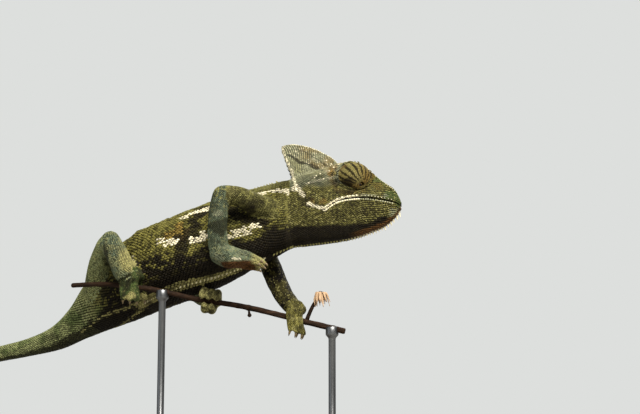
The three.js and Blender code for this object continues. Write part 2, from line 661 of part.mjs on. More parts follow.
// Throat cones, longest at the chin.
const throat = [];
for (let x = 41.6; x > 4; x -= GULAR.pitch * (0.92 + 0.16 * random())) {
  const t = (HEAD.length - 1) * ((43.4 - x) / (43.4 - HEAD_END));
  let low = t - 2;
  while (along(HEAD, low)[0] > x) {
    low += 0.02;
  }
  const keel = along(HEAD, low)[12];
  const height = lerp(GULAR.low, GULAR.high, ((x + 4) / 46) ** 2) * (0.88 + 0.24 * random());
  throat.push(spike(headPoint(x, 0, keel + 0.15), headVector(0.12, 0, -1), height, GULAR.r));
}
solids.lower_jaw = largest(joined([jaw, ...throat]));

const torsoStart = past(NECK_END);
const neckFront = 0.05;
const headCut = headSolid(GAP).add(casqueSolid(GAP));
const neckCones = [
  ...bodyCrest(neckFront + 0.25, NECK_END - 0.08, GULAR, -1, random, () => 1.1),
  ...bodyCrest(neckFront + 0.35, NECK_END - 0.08, DORSAL, 1, random, () => DORSAL.high),
];
solids.neck = largest(joined([length(neckFront, NECK_END, 5, 26), ...neckCones]).subtract(headCut));

const fade = (crest) => (t) => lerp(crest.high, crest.low, (t - NECK_END) / (TORSO_END - NECK_END));
solids.torso = largest(joined([
  length(torsoStart, TORSO_END, 17, 26),
  ...bodyCrest(torsoStart + 0.08, TORSO_END - 1.2, VENTRAL, -1, random, fade(VENTRAL)),
  ...bodyCrest(torsoStart + 0.08, TORSO_END - 0.1, DORSAL, 1, random, fade(DORSAL)),
]));
const bodyCut = length(neckFront, 9, 30, 30, GAP);

let from = past(TORSO_END);
[...TAIL_CUTS, SPINE_END].forEach((to, i) => {
  const steps = Math.round((to - from) * (i < 2 ? 3 : 1.3)) + 2;
  solids[`tail_${i + 1}`] = length(from, to, steps, i < 2 ? 18 : 10);
  from = past(to);
});

const twigBody = twigSolid();
const twigCut = twigSolid(GAP);
solids.perch_twig = largest(joined([twigBody, ...twigGrowths(random)]));

const segment = (name, grow = 0) => tube(LIMBS[name], 14, 6, grow);
const foot = (name, grow = 0) => (name === 'hand_r' ? freeHand(grow) : footSolid(FEET[name], grow));
const LIMB_CHAIN = [
  ['upper_arm_r', 'forearm_r', 'hand_r'], ['upper_arm_l', 'forearm_l', 'hand_l'],
  ['thigh_r', 'shank_r', 'foot_r'], ['thigh_l', 'shank_l', 'foot_l'],
];
for (const [upper, lower, end] of LIMB_CHAIN) {
  solids[upper] = largest(segment(upper).subtract(bodyCut));
  solids[lower] = largest(segment(lower).subtract(bodyCut).subtract(segment(upper, GAP)).subtract(foot(end, GAP))
    .subtract(twigCut));
  solids[end] = largest(foot(end).subtract(bodyCut).subtract(twigCut));
}

solids.stand_base = standBase();
for (const [name, x] of Object.entries(RODS)) {
  solids[name] = rodSolid(x, twigCut);
}

// ---------------------------------------------------------------- meshes
const COLOURS = {
  head: '#6f6c45', casque: '#85835f', lower_jaw: '#646240', neck: '#67643b', torso: '#4f4b2a',
  tail: '#7b7a50', eye_turret: '#5e5527', eyeball: '#191510', upper_arm: '#6d7155', forearm: '#6b7662',
  hand: '#72796a', thigh: '#74754f', shank: '#6f7a64', foot: '#6d6a45', perch: '#4a3527', stand: '#2b2622',
};
const group = new THREE.Group();
group.name = 'veiled_chameleon';
for (const [name, manifold] of Object.entries(solids)) {
  const { vertProperties, triVerts } = manifold.getMesh();
  const geometry = new THREE.BufferGeometry();
  geometry.setAttribute('position', new THREE.Float32BufferAttribute(vertProperties, 3));
  geometry.setIndex(new THREE.Uint32BufferAttribute(triVerts, 1));
  geometry.computeVertexNormals();
  const key = Object.keys(COLOURS).find((word) => name.startsWith(word));
  const roughness = name.startsWith('eyeball') ? 0.15 : 0.7;
  const material = new THREE.MeshStandardMaterial({ color: COLOURS[key], roughness, metalness: 0 });
  const mesh = new THREE.Mesh(geometry, material);
  mesh.name = name;
  group.add(mesh);
}

export default group;
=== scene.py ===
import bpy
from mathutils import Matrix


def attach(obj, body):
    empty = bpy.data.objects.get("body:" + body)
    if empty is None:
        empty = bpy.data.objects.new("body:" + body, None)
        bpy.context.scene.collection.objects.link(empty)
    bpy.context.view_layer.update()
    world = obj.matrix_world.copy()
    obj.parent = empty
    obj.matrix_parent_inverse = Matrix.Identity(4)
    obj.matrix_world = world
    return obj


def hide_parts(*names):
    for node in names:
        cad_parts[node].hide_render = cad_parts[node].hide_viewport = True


bl_info = {
    "name": "Veiled chameleon on a twig",
    "version": (1, 0, 0),
    "blender": (4, 5, 0),
    "location": "View3D > Sidebar > Chameleon",
    "description": "Dresses the chameleon's solids in scaled skin, crests, eyes and claws, with its twig and stand",
    "category": "Object",
}

from functools import lru_cache

import bpy
import numpy as np
from bpy.props import FloatProperty, FloatVectorProperty, PointerProperty
from mathutils import Vector

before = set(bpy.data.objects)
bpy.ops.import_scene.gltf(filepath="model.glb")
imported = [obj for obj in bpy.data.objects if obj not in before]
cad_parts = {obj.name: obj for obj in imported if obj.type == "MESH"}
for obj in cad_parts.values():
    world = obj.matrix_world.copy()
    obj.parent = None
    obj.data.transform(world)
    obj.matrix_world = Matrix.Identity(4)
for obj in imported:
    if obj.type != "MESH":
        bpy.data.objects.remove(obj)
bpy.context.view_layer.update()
MM = 0.001

# ---- sizes shared with the solids
# Millimetres, in the frame of the CAD nodes: +X toward the snout, +Y to the animal's left, +Z up.
NAPE = np.array([36.0, 4.4, 129.3])
HEAD_YAW, HEAD_ROLL = 18.0, 8.0
# Head sections from snout to nape: x, crown z, y and z of brow, cheek, lip, jaw and throat side, keel z.
HEAD = np.array([
    [43.4, -2.3, 0.7, -2.3, 1.1, -2.9, 1.2, -3.3, 1, -4.3, 0.5, -5.1, -5.3],
    [42.5, -0.8, 1.8, -0.7, 2.7, -1.9, 2.9, -3.1, 2.5, -5.2, 1.3, -6.6, -7],
    [40, 2.7, 3, 2.5, 4.2, 0.3, 4.8, -2.4, 4, -6.7, 2.2, -9.4, -10.1],
    [36, 5.3, 4.2, 5, 5.2, 2.4, 6, -2, 5.2, -7.9, 2.9, -12.4, -13.3],
    [31, 8.5, 5.4, 9, 6.2, 4.5, 7, -1.9, 6.3, -8.6, 3.4, -14.4, -15.4],
    [26, 11.5, 6.2, 12.8, 6.8, 5.8, 7.8, -2, 7.2, -9.2, 3.8, -16.2, -17.2],
    [21, 13, 6.5, 14, 7.2, 6, 8.5, -2.3, 7.8, -9.8, 4.2, -17.4, -18.5],
    [15, 13.2, 6.6, 12.6, 7.9, 5.2, 9.2, -4.3, 8.6, -11, 4.7, -18.4, -19.6],
    [8, 11.8, 7.4, 9.2, 8.8, 3.4, 9.3, -5.6, 9.2, -12, 5.2, -19.2, -20.4],
    [0, 9.4, 7.4, 6.4, 8.5, 0.8, 8.9, -5.6, 8.7, -11.6, 5.4, -19.8, -21.3],
    [-4, 8, 7, 5, 8.1, -0.4, 8.5, -6.4, 8.3, -12.2, 5.3, -20, -22],
])
MOUTH = np.array([
    [46, -5.2], [42.8, -4.5], [40.3, -3.9], [38, -3.5], [34, -3], [30, -2.6], [26, -2.6],
    [22.3, -3], [19.6, -3.5], [16.8, -4.3], [14.3, -5.8], [11.4, -8], [8, -9.4],
])
NOSTRIL = np.array([38.6, 4.0, 1.6])
# Casque from its foot to its peak: crest x and z, rear corner x, half width, z.
CASQUE = np.array([
    [18.2, 12.2, -1, 8.3, 0.6],
    [16.6, 15.6, -2.6, 7.2, 5],
    [13.2, 18.5, -4.3, 5.7, 9.6],
    [8.6, 21.2, -6, 4.1, 14.3],
    [3.8, 23.2, -7.4, 2.8, 18.4],
    [-0.8, 24.3, -8.5, 1.7, 21.5],
    [-4.8, 24.7, -8.4, 0.9, 23.7],
])
CASQUE_HOLLOW, CREST_THICK = 0.3, 0.55
EYE = np.array([22.3, 5.2, 7.6])
EYE_LOOK = np.array([0.42, 0.57, -0.71])
# Spine from nape to tail base: x, y, z, height above, depth below, half width, roll.
SPINE = np.array([
    [32.2, 2.2, 122.6, 15.6, 14.8, 8.5, 8],
    [28, 1, 121, 16.2, 15.2, 8.8, 11],
    [14.6, 0.1, 117.1, 18.8, 17.8, 10.8, 20],
    [-1.8, 0, 111.5, 21.8, 19.2, 14.4, 28],
    [-18.5, 0, 105.4, 23.2, 17.6, 16.6, 34],
    [-33.1, 0, 100.9, 23, 17.6, 15.8, 32],
    [-45.4, 0, 94.4, 18.6, 15.4, 13.6, 26],
    [-57.8, 0, 87.9, 12.3, 13, 10.6, 19],
    [-67.8, 0, 81.4, 6.5, 10, 7.2, 12],
    [-78.8, 0, 73.5, 5.7, 5.6, 5.4, 7],
    [-93.2, 0, 69.5, 4.2, 4, 4, 3],
    [-108.9, 0, 66.9, 3.6, 3.5, 3.5, 0],
])
KEEL_POWER, BELLY_POWER = 1.35, 0.68
COIL_LENGTH, COIL_STEPS, COIL_START = 112.0, 30, 191.0
COIL_SLACK, COIL_TIGHT, COIL_R0, COIL_R1, COIL_DRIFT = 0.018, 0.235, 3.45, 0.75, 0.05
TWIG = np.array([
    [-61.1, -18.4, 93.7, 1],
    [-51.2, -18.4, 93.7, 1.02],
    [-42.4, -18.3, 93.3, 1.05],
    [-32.7, -18.1, 91.8, 1.1],
    [-25.9, -17, 91, 1.1],
    [-18, -14.4, 89.4, 1.12],
    [-8.1, -10.6, 86.9, 1.15],
    [-2.1, -8.2, 85.8, 1.15],
    [14.1, -3, 82.9, 1.18],
    [29.8, 1.2, 78.9, 1.2],
    [34.7, 2.4, 77.5, 1.2],
    [40.9, 4, 75.8, 1.22],
    [55.3, 7.2, 72, 1.25],
])
# Limbs from body to foot: x, y, z, radius along each segment.
LIMBS = {
    "upper_arm_r": [[28, -3.8, 121.9, 5.2], [22.4, -9.6, 125.1, 4.7], [16.4, -15.4, 127.9, 4.3],
                    [11.4, -19, 128.6, 4.2]],
    "forearm_r": [[10.2, -19.2, 129, 3.7], [9.6, -20.4, 121.5, 4.1], [9.7, -21.4, 113, 4.2],
                  [10.4, -21.6, 105.8, 4.3]],
    "upper_arm_l": [[16.6, 6, 115, 5.4], [15.8, 10.2, 110, 5.2], [17.4, 12.4, 105.4, 4.7]],
    "forearm_l": [[18.2, 12.6, 103.6, 4.6], [22.6, 10.2, 95.4, 4.5], [27.9, 6.6, 88, 4.2],
                  [32.2, 4, 83.6, 3.9]],
    "thigh_r": [[-55.4, -5, 89.4, 6.4], [-53.4, -9.5, 95.9, 5.8], [-49, -15, 103.8, 5.1],
                [-43.6, -20, 110, 4.5]],
    "shank_r": [[-41, -21.4, 111.8, 4.3], [-37.6, -21.7, 105.7, 4.9], [-34, -20.5, 98.2, 5.2]],
    "thigh_l": [[-55.4, 5, 90, 6.2], [-45, 13.8, 93.8, 5.6], [-34.6, 18.4, 97.4, 4.9]],
    "shank_l": [[-32.2, 18.2, 97.4, 4.7], [-20, 12.6, 94, 4.6], [-8, 1.6, 88.4, 3.9]],
}
# Gripping feet: place on the twig, palm's bearing and lift, toe radius and pitch, lean of the tips along
# the twig, toe path as turns from the palm with distances from the twig's middle, and the claw's.
FEET = {
    "hand_l": dict(x=34.2, palm=88, lift=4.4, toe=1.6, pitch=2.5, lean=3.4,
                   path=[[15, 4.6], [45, 4.3], [75, 3.5], [98, 3.8], [119, 5.4], [132, 7.1]], claw=[146, 9.1]),
    "foot_r": dict(x=-32, palm=98, lift=4.8, toe=1.85, pitch=3, lean=2.2,
                   path=[[15, 4.9], [45, 4.7], [72, 4], [95, 4.2], [116, 5.5], [129, 7.1]], claw=[142, 9]),
    "foot_l": dict(x=-0.3, palm=5, lift=5.2, toe=1.95, pitch=3.1, lean=0,
                   path=[[18, 4.8], [50, 4.2], [80, 3.8], [108, 3.7], [132, 3.7], [148, 3.7]], claw=[172, 3.3]),
}
# Free hand: the palm and the five fingers, three on the near side and two on the far side.
PALM = [[11.2, -21.4, 103.2, 4.7], [15.6, -21, 101.6, 4.9], [20, -20.4, 101, 3.9]]
FINGERS = [
    [[18, -22.6, 103, 1.9], [23, -22.4, 102.4, 1.7], [27.4, -21.8, 100.6, 1.3], [29.4, -21.4, 99.4, 0.9]],
    [[18, -22.6, 100.6, 1.9], [22.6, -22.6, 99.8, 1.6], [26.6, -22.2, 98.9, 1.2], [28.4, -21.8, 98.2, 0.9]],
    [[18, -18.6, 103, 1.8], [23.4, -18.2, 102, 1.6], [28.2, -18.2, 100, 1.2], [30, -18.4, 98.6, 0.9]],
    [[18, -18.2, 100.8, 1.8], [23, -17.8, 99.6, 1.6], [27.4, -17.8, 98.2, 1.2], [29, -18, 97.4, 0.9]],
    [[17.4, -18.6, 98.8, 1.7], [21.6, -18, 97.8, 1.5], [25.4, -18, 96.8, 1.1], [27, -18.2, 96.2, 0.9]],
]
FINGER_CLAW = np.array([1.4, -0.1, -1.3])
UP = np.array([0.0, 0.0, 1.0])
LEFT = np.array([0.0, 1.0, 0.0])


def unit(v):
    """Vectors divided by their own length."""
    return v / np.linalg.norm(v, axis=-1, keepdims=True)


def smooth(x):
    """Soft step: 0 below 0, 1 above 1, and 3x2 - 2x3 between."""
    x = np.clip(x, 0, 1)
    return x * x * (3 - 2 * x)


def spline(a, b, c, d, f):
    """Catmull-Rom curve from b to c as f goes from 0 to 1, with a before them and d after."""
    return b + 0.5 * f * (c - a + f * (2 * a - 5 * b + 4 * c - d + f * (3 * (b - c) + d - a)))


def along(rows, t):
    """Catmull-Rom curve through the rows of a table, where t counts rows and the ends run on straight."""
    rows, t = np.asarray(rows, float), np.asarray(t, float)
    i = np.clip(np.floor(t).astype(int), 0, len(rows) - 2)
    more = np.vstack([2 * rows[0] - rows[1], rows, 2 * rows[-1] - rows[-2]])
    return spline(*(more[i + k] for k in range(4)), (t - i)[..., None])


def heading(rows, t, step=0.05):
    """Direction of a curve at places t, from a step before each to a step after it."""
    after, before = (along(rows, np.clip(t + k, 0, len(rows) - 1))[..., :3] for k in (step, -step))
    return unit(after - before)


def square_pair(ahead):
    """Two directions square to the one ahead: the closest to the animal's left, and the one above both."""
    left = unit(LEFT - ahead * ahead[..., 1:2])
    return left, np.cross(ahead, left)


def columns(*each):
    """Table with each list as a column."""
    return np.column_stack(each)


def dot(a, b):
    """Product of each vector with its partner."""
    return np.einsum("ij,ij->i", a, b)


def turns(count):
    """Even angles round a full turn."""
    return 2 * np.pi * np.arange(count) / count


def spokes(first, second, angles):
    """Directions at angles from the first toward the second, one row of them for each pair."""
    return first[..., None, :] * np.cos(angles)[:, None] + second[..., None, :] * np.sin(angles)[:, None]


def walked(chain):
    """Way along a chain of points, or of rings taken by their mean, up to each of them."""
    steps = np.linalg.norm(np.diff(chain, axis=0), axis=-1)
    return np.concatenate([[0], np.cumsum(steps.reshape(len(steps), -1).mean(1))])


YAW, ROLL = np.radians(HEAD_YAW), np.radians(HEAD_ROLL)
FORWARD = np.array([np.cos(YAW), np.sin(YAW), 0.0])
SIDEWAYS = np.array([-np.sin(YAW), np.cos(YAW), 0.0])
HEAD_AXES = np.array([
    FORWARD,
    SIDEWAYS * np.cos(ROLL) - UP * np.sin(ROLL),
    UP * np.cos(ROLL) + SIDEWAYS * np.sin(ROLL),
])


def head_to_world(p):
    """Point in head coordinates carried to the frame: the nape plus x, y and z along the head's three axes."""
    return NAPE + np.asarray(p) @ HEAD_AXES


def world_to_head(p):
    """Inverse of head_to_world: the point less the nape, measured along the head's axes."""
    return (p - NAPE) @ HEAD_AXES.T


def head_rings(steps=90, fine=8):
    """Head surface: row k of the section table makes a closed ring of twelve corners, crown, five down the
    left, keel and five up the right, and a cyclic Catmull-Rom curve goes through them."""
    rows = along(HEAD, np.linspace(0, len(HEAD) - 1, steps))
    half = rows[:, 2:12].reshape(-1, 5, 2)
    crown, keel = (np.stack([0 * z, z], -1) for z in (rows[:, 1:2], rows[:, 12:13]))
    corners = np.concatenate([crown, half, keel, (half * [-1, 1])[:, ::-1]], 1)
    f = (np.arange(fine) / fine)[:, None]
    ring = spline(*(np.roll(corners, -k, 1)[:, :, None] for k in (-1, 0, 1, 2)), f).reshape(steps, -1, 2)
    x = np.broadcast_to(rows[:, :1, None], ring.shape[:2] + (1,))
    return head_to_world(np.concatenate([x, ring], -1))


def casque_rings(steps=48, fine=26):
    """Casque: level k is a wedge from the crest's edge back to the two rear corners, its half width growing
    as the 1.12th power of the way back, closed by a rear face that is hollow by CASQUE_HOLLOW of its width."""
    xf, zf, xr, wide, zr = along(CASQUE, np.linspace(0, len(CASQUE) - 1, steps)).T[..., None]
    t = np.linspace(0.0, 1, fine) ** 1.4
    y = wide * t ** 1.12 + CREST_THICK * (1 - t) * np.minimum(1, t * 25) ** 0.5
    x, z = xf + (xr - xf) * t, zf + (zr - zf) * t
    f = np.linspace(1, -1, 2 * fine)[1:-1]
    back = [xr + CASQUE_HOLLOW * wide * (1 - f * f), wide * f, zr + 0.1 * wide * (1 - np.abs(f))]
    side = [np.concatenate([p, q, r[:, :0:-1]], 1) for p, q, r in zip((x, y, z), back, (x, -y, z))]
    return head_to_world(np.stack(side, -1))


def whole_spine():
    """Spine table carried on through the tail: a curve in X and Z whose bend grows with the square of the way
    along it from COIL_SLACK to COIL_TIGHT per millimetre, drifting to the left, while its radius shrinks."""
    fine = 20
    u = (np.arange(COIL_STEPS * fine) + 0.5) / fine / COIL_STEPS
    step = COIL_LENGTH / COIL_STEPS / fine
    heading = np.radians(COIL_START) + np.cumsum((COIL_SLACK + (COIL_TIGHT - COIL_SLACK) * u * u) * step)
    walk = np.cumsum(np.stack([np.cos(heading), np.full_like(u, COIL_DRIFT), np.sin(heading)], -1) * step, 0)
    k = np.arange(1, COIL_STEPS + 1)
    r = COIL_R0 + (COIL_R1 - COIL_R0) * (k / COIL_STEPS) ** 0.85
    rows = columns(SPINE[-1, :3] + walk[fine - 1::fine], r * 1.04, r, r * 0.96, 0 * r)
    return np.vstack([SPINE, rows])


SPINE_ALL = whole_spine()
SPINE_END = len(SPINE_ALL) - 1


def station(t):
    """Middle, three directions and three sizes of the body at places t along the spine table."""
    row = along(SPINE_ALL, t)
    ahead = -heading(SPINE_ALL, t)
    turn = np.clip(1 - t / 0.9, 0, 1)[..., None]
    ahead = unit(ahead + (FORWARD - ahead) * turn)
    flat, rise = square_pair(ahead)
    lean = np.radians(row[..., 6:7])
    left = flat * np.cos(lean) - rise * np.sin(lean)
    top = rise * np.cos(lean) + flat * np.sin(lean)
    return row[..., :3], ahead, left, top, row[..., 3:6]


def body_point(t, angle):
    """Body surface: half width times cos of the angle raised to KEEL_POWER above and BELLY_POWER below, and
    height above or depth below times its sine."""
    centre, _, left, top, size = station(t)
    c, h = np.cos(angle), np.sin(angle)
    y = size[..., 2] * np.sign(c) * np.abs(c) ** np.where(h > 0, KEEL_POWER, BELLY_POWER)
    z = np.where(h > 0, size[..., 0], size[..., 1]) * h
    return centre + left * y[..., None] + top * z[..., None]


def body_rings(start=0.05, steps=330, sides=88):
    """Trunk and tail as one grid of body_point over places and angles, closer together along the thin tail."""
    t = np.linspace(start, SPINE_END, steps)
    angle = 2 * np.pi * (np.arange(sides) + 0.5) / sides
    grid = np.meshgrid(t, angle, indexing="ij")
    return body_point(*grid), t, angle


def tube_rings(rows, steps, sides):
    """Round-ended tube: rings square to a Catmull-Rom path through x, y, z and radius, with each end closed
    by rings that shrink as a half ball."""
    rows = np.asarray(rows, float)
    span, cap = len(rows) - 1, np.radians([72, 50, 25])
    t = np.concatenate([0 * cap, np.linspace(0, span, steps), 0 * cap + span])
    slide = np.concatenate([-np.sin(cap), np.zeros(steps), np.sin(cap[::-1])])[:, None]
    scale = np.concatenate([np.cos(cap), np.ones(steps), np.cos(cap[::-1])])[:, None]
    row, ahead = along(rows, t), heading(rows, t, 0.02)
    across = np.eye(3)[np.argmin(np.abs(unit(rows[-1, :3] - rows[0, :3])))]
    across = unit(across - ahead * (ahead @ across)[:, None])
    r = row[:, 3:4]
    out = spokes(across, np.cross(ahead, across), turns(sides))
    return (row[:, :3] + ahead * r * slide)[:, None] + out * (r * scale)[:, None]


def twig_frame(x):
    """Middle, run, left and up of the twig where it passes x."""
    t = np.linspace(0, len(TWIG) - 1, 2401)
    t = np.interp(x, along(TWIG, t)[:, 0], t)
    run = heading(TWIG, t)
    return along(TWIG, t)[..., :3], run, *square_pair(run)


def foot_tubes(spec):
    """Palm and toes of a gripping foot: each toe is a tube whose middle line goes round the twig from the
    palm by the turns and distances of the spec, three toes one way and two the other, and a claw at its end."""
    centre, run, left, up = twig_frame(spec["x"])
    palm, lift, pitch, lean = (spec[key] for key in ("palm", "lift", "pitch", "lean"))

    def place(bearing, reach, shift):
        a = np.radians(bearing)
        return centre + left * reach * np.cos(a) + up * reach * np.sin(a) + run * shift

    tubes = [[[*place(palm, lift + more, side * pitch * 0.75), r]
              for side, more, r in ((-1, 0, 2.5), (0, 0.6, 3.2), (1, 0, 2.5))]]
    claws = []
    for count, turn in ((3, 1), (2, -1)):
        for i in range(count):
            shift = (i - (count - 1) / 2) * pitch
            rows = [[*place(palm + turn * bearing, reach, shift * (0.84 + 0.04 * k) + lean * (k / 5) ** 2),
                     spec["toe"] * (1.06 - 0.055 * k)] for k, (bearing, reach) in enumerate(spec["path"])]
            tubes.append(rows)
            tip = np.array(rows[-1][:3])
            end = place(palm + turn * spec["claw"][0], spec["claw"][1], shift * 1.05 + lean)
            claws.append([tip, (tip + end) / 2 + unit(tip - centre) * 0.25, end])
    return tubes, claws


def hand_claws():
    """Claws of the free hand: from each finger's tip outward by FINGER_CLAW, bent down."""
    claws = []
    for finger in FINGERS:
        *tip, r = finger[-1]
        tip = np.array(tip)
        claws.append([tip, tip + FINGER_CLAW * [0.65, 1, 0.4], tip + FINGER_CLAW * [1, 1, r]])
    return claws


def to_line(points, line):
    """Distance of flat points from a chain of straight pieces, and the side they lie on."""
    best, side = np.full(len(points), np.inf), np.zeros(len(points))
    for a, run in zip(line, np.diff(line, axis=0)):
        u = np.clip((points - a) @ run / (run @ run), 0, 1)
        off = points - a - u[:, None] * run
        d = np.hypot(off[:, 0], off[:, 1])
        side = np.where(d < best, np.sign(run[0] * off[:, 1] - run[1] * off[:, 0]), side)
        best = np.minimum(best, d)
    return best, side


def noise(points, cell, seed=0):
    """Smooth field from -1 to 1: hashed values on a cubic lattice of the cell's size, blended by soft steps."""
    q = points / cell
    i = np.floor(q).astype(np.int64)
    f = q - i
    f = f * f * (3 - 2 * f)
    total = np.zeros(len(points))
    for corner in np.ndindex(2, 2, 2):
        j = i + corner
        h = (j[:, 0] * 374761393 + j[:, 1] * 668265263 + j[:, 2] * 1274126177 + seed * 97531) & 0xFFFFFFFF
        h = ((h ^ (h >> 13)) * 1103515245) & 0xFFFFFFFF
        value = ((h ^ (h >> 16)) & 0xFFFF) / 32767.5 - 1
        total += value * np.prod(np.where(corner, f, 1 - f), 1)
    return total


def nearest(points, cloud, reach=6.0):
    """Index of the closest cloud point to each point, found block by block along X."""
    order, rank = np.argsort(points[:, 0], kind="stable"), np.argsort(cloud[:, 0], kind="stable")
    xs = cloud[rank, 0]
    found = np.empty(len(points), int)
    for block in np.array_split(order, max(1, len(points) // 300)):
        p = points[block]
        low = np.searchsorted(xs, p[:, 0].min() - reach)
        high = np.searchsorted(xs, p[:, 0].max() + reach)
        near = cloud[rank[low:high]]
        found[block] = rank[low + ((near * near).sum(1) - 2 * p @ near.T).argmin(1)]
    return found


# The turret's ball is stretched along the head and moved forward a little, in head coordinates.
TURRET_SHAPE, TURRET_SHIFT = np.array([1.09, 1.0, 0.92]), np.array([0.9, 0.0, -0.1])


# ---- the body's surfaces and places on them
TRUNK, HEADPIECE, CASQUEPIECE, LIMB, FOOT = range(5)
LIMB_NAMES = list(LIMBS)
FOOT_NAMES = ["hand_r", *FEET]


# Ridge over each turret in head coordinates: x, y, z, radius.
ORBIT = np.array([[33, 4.6, 6, 0.9], [30, 5.4, 8.8, 1], [27.2, 5.9, 11.3, 1.05], [24.4, 6, 12.7, 1.1],
                  [21.6, 5.9, 13.1, 1.1], [18.8, 5.8, 12.6, 1.05], [16.4, 5.7, 11.4, 0.9]])


@lru_cache(None)
def surfaces():
    """Every surface that makes up the flesh: rings, region, index of the limb or foot, and for each ring its
    place along and for each corner its turn round the piece."""
    rings, t, angle = body_rings()
    parts = [(rings, TRUNK, 0, t, np.degrees(angle))]
    grids = [(HEADPIECE, 0, head_rings()), (CASQUEPIECE, 0, casque_rings())]
    for k, side in ((1, 1), (2, -1)):
        rows = columns(head_to_world(ORBIT[:, :3] * [1, side, 1]), ORBIT[:, 3])
        grids.append((HEADPIECE, k, tube_rings(rows, 40, 20)))
    grids += [(LIMB, k, tube_rings(rows, 34, 28)) for k, rows in enumerate(LIMBS.values())]
    for k, name in enumerate(FOOT_NAMES):
        tubes = [PALM, *FINGERS] if name == "hand_r" else foot_tubes(FEET[name])[0]
        grids += [(FOOT, k, tube_rings(rows, 22, 18)) for rows in tubes]
    for region, k, grid in grids:
        m, n = grid.shape[:2]
        parts.append((grid, region, k, np.linspace(0, 1, m), 360 * np.arange(n) / n))
    return parts


@lru_cache(None)
def cloud():
    """Corners of all the surfaces as one list, each with its region, index, place along and turn."""
    columns = []
    for rings, region, index, s, turn in surfaces():
        m, n = rings.shape[:2]
        s, turn = np.broadcast_to(s[:, None], (m, n)), np.broadcast_to(turn, (m, n))
        columns.append(np.column_stack([rings.reshape(-1, 3), np.full(m * n, region), np.full(m * n, index),
                                        s.ravel(), turn.ravel()]))
    return np.vstack(columns)


# Rectangle of each region on the unwrap of the skin: left and lower edge, width and height.
UNWRAP = np.array([[0, 0, 1, 0.42], [0, 0.44, 0.5, 0.22], [0.52, 0.44, 0.2, 0.22], [0, 0.68, 0.12, 0.14],
                   [0, 0.84, 0.23, 0.14]])


class Places:
    """Where points lie on the animal: region, limb, place along it, girth from back (0) to belly (180), and
    head coordinates."""

    def __init__(self, points):
        rows = cloud()[nearest(points, cloud()[:, :3])]
        self.points, self.head = points, world_to_head(points)
        self.region, self.index = rows[:, 3:5].astype(int).T
        self.t, self.turn = rows[:, 5:].T
        self.girth = np.abs((self.turn - 90 + 180) % 360 - 180)

    def bake_map(self):
        """Place on a flat unwrap: each region has a rectangle, with the place along it to the right and the
        turn round it upward, and each ridge over an eye has a strip."""
        low, size = np.split(UNWRAP[self.region], 2, 1)
        length = np.interp(self.t, [0, 7, SPINE_END], [0, 0.55, 1.0])
        along_it = np.where(self.region == TRUNK, length, self.t)
        uv = low + size * columns(along_it, self.turn / 360)
        uv[:, 0] += np.where(self.region >= LIMB, self.index * (size[:, 0] + 0.004), 0)
        ridge = (self.region == HEADPIECE) & (self.index > 0)
        strip = columns(0.74 + 0.24 * self.t, 0.38 + 0.08 * self.index + 0.06 * self.turn / 360)
        return np.clip(np.where(ridge[:, None], strip, uv), 0.004, 0.996)


def grid_faces(m, n):
    """Faces of a grid of m rings of n corners that closes round each ring, as rows of four corners."""
    k, i = np.meshgrid(np.arange(m - 1), np.arange(n), indexing="ij")
    j = (i + 1) % n
    return np.stack([k * n + i, k * n + j, (k + 1) * n + j, (k + 1) * n + i], -1).reshape(-1, 4)


def closed_grid(rings, first):
    """Points and faces of rings with a flat face at each end, turned outward: the signed volume is positive."""
    m, n = rings.shape[:2]
    faces = grid_faces(m, n)
    ends = np.array([np.arange(n)[::-1], (m - 1) * n + np.arange(n)])
    points = rings.reshape(-1, 3)
    a, b, c, d = (points - points.mean(0))[faces.T]
    if dot(a, np.cross(b, c)).sum() + dot(a, np.cross(c, d)).sum() < 0:
        faces, ends = faces[:, ::-1], ends[:, ::-1]
    return points, [faces + first, ends + first]


def shown(name, data):
    """A new object in the scene that shows a mesh, a lamp or a camera."""
    thing = bpy.data.objects.new(name, data)
    bpy.context.scene.collection.objects.link(thing)
    return thing


def write_points(mesh, points):
    """Moves the corners of a mesh to points in millimetres."""
    mesh.vertices.foreach_set("co", (np.asarray(points) * MM).astype(np.float32).ravel())


def build(name, points, blocks):
    """Smooth object from points in millimetres and blocks of faces, one row of corners a face."""
    mesh = bpy.data.meshes.new(name)
    corners = np.concatenate([b.ravel() for b in blocks]).astype(np.int32)
    sizes = np.concatenate([np.full(len(b), b.shape[1]) for b in blocks])
    mesh.vertices.add(len(points))
    write_points(mesh, points)
    mesh.loops.add(len(corners))
    mesh.loops.foreach_set("vertex_index", corners)
    mesh.polygons.add(len(sizes))
    mesh.polygons.foreach_set("loop_start", (np.cumsum(sizes) - sizes).astype(np.int32))
    mesh.update(calc_edges=True)
    mesh.shade_smooth()
    return shown(name, mesh)


def join_grids(name, grids):
    """One mesh object from several closed grids of rings."""
    points, blocks, first = [], [], 0
    for rings in grids:
        corners, faces = closed_grid(rings, first)
        points.append(corners)
        blocks += faces
        first += len(corners)
    return build(name, np.vstack(points), blocks)


def dye(thing, colours):
    """Stores one colour a point in the attribute "tint", which the finish reads."""
    store = thing.data.attributes.new("tint", "FLOAT_COLOR", "POINT")
    rgba = columns(np.clip(colours, 0, 1), np.ones(len(colours)))
    store.data.foreach_set("color", rgba.astype(np.float32).ravel())


def read(items, key, width, kind=np.float32):
    """One row of numbers for each item of a Blender collection."""
    values = np.empty(len(items) * width, kind)
    items.foreach_get(key, values)
    return values.reshape(-1, width)


def read_points(mesh):
    """Corners of a mesh in millimetres."""
    return read(mesh.vertices, "co", 3).astype(float) / MM


def read_normals(mesh):
    """Directions out of a mesh at its corners."""
    return read(mesh.vertex_normals, "vector", 3).astype(float)


def settle(thing, finish, slot, *nodes):
    """Gives a piece its finish and its ride, and hides the solids that it stands for; its slot is not used."""
    thing.data.materials.clear()
    thing.data.materials.append(finish)
    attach(thing, "root")
    if nodes:
        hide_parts(*nodes)
    return thing


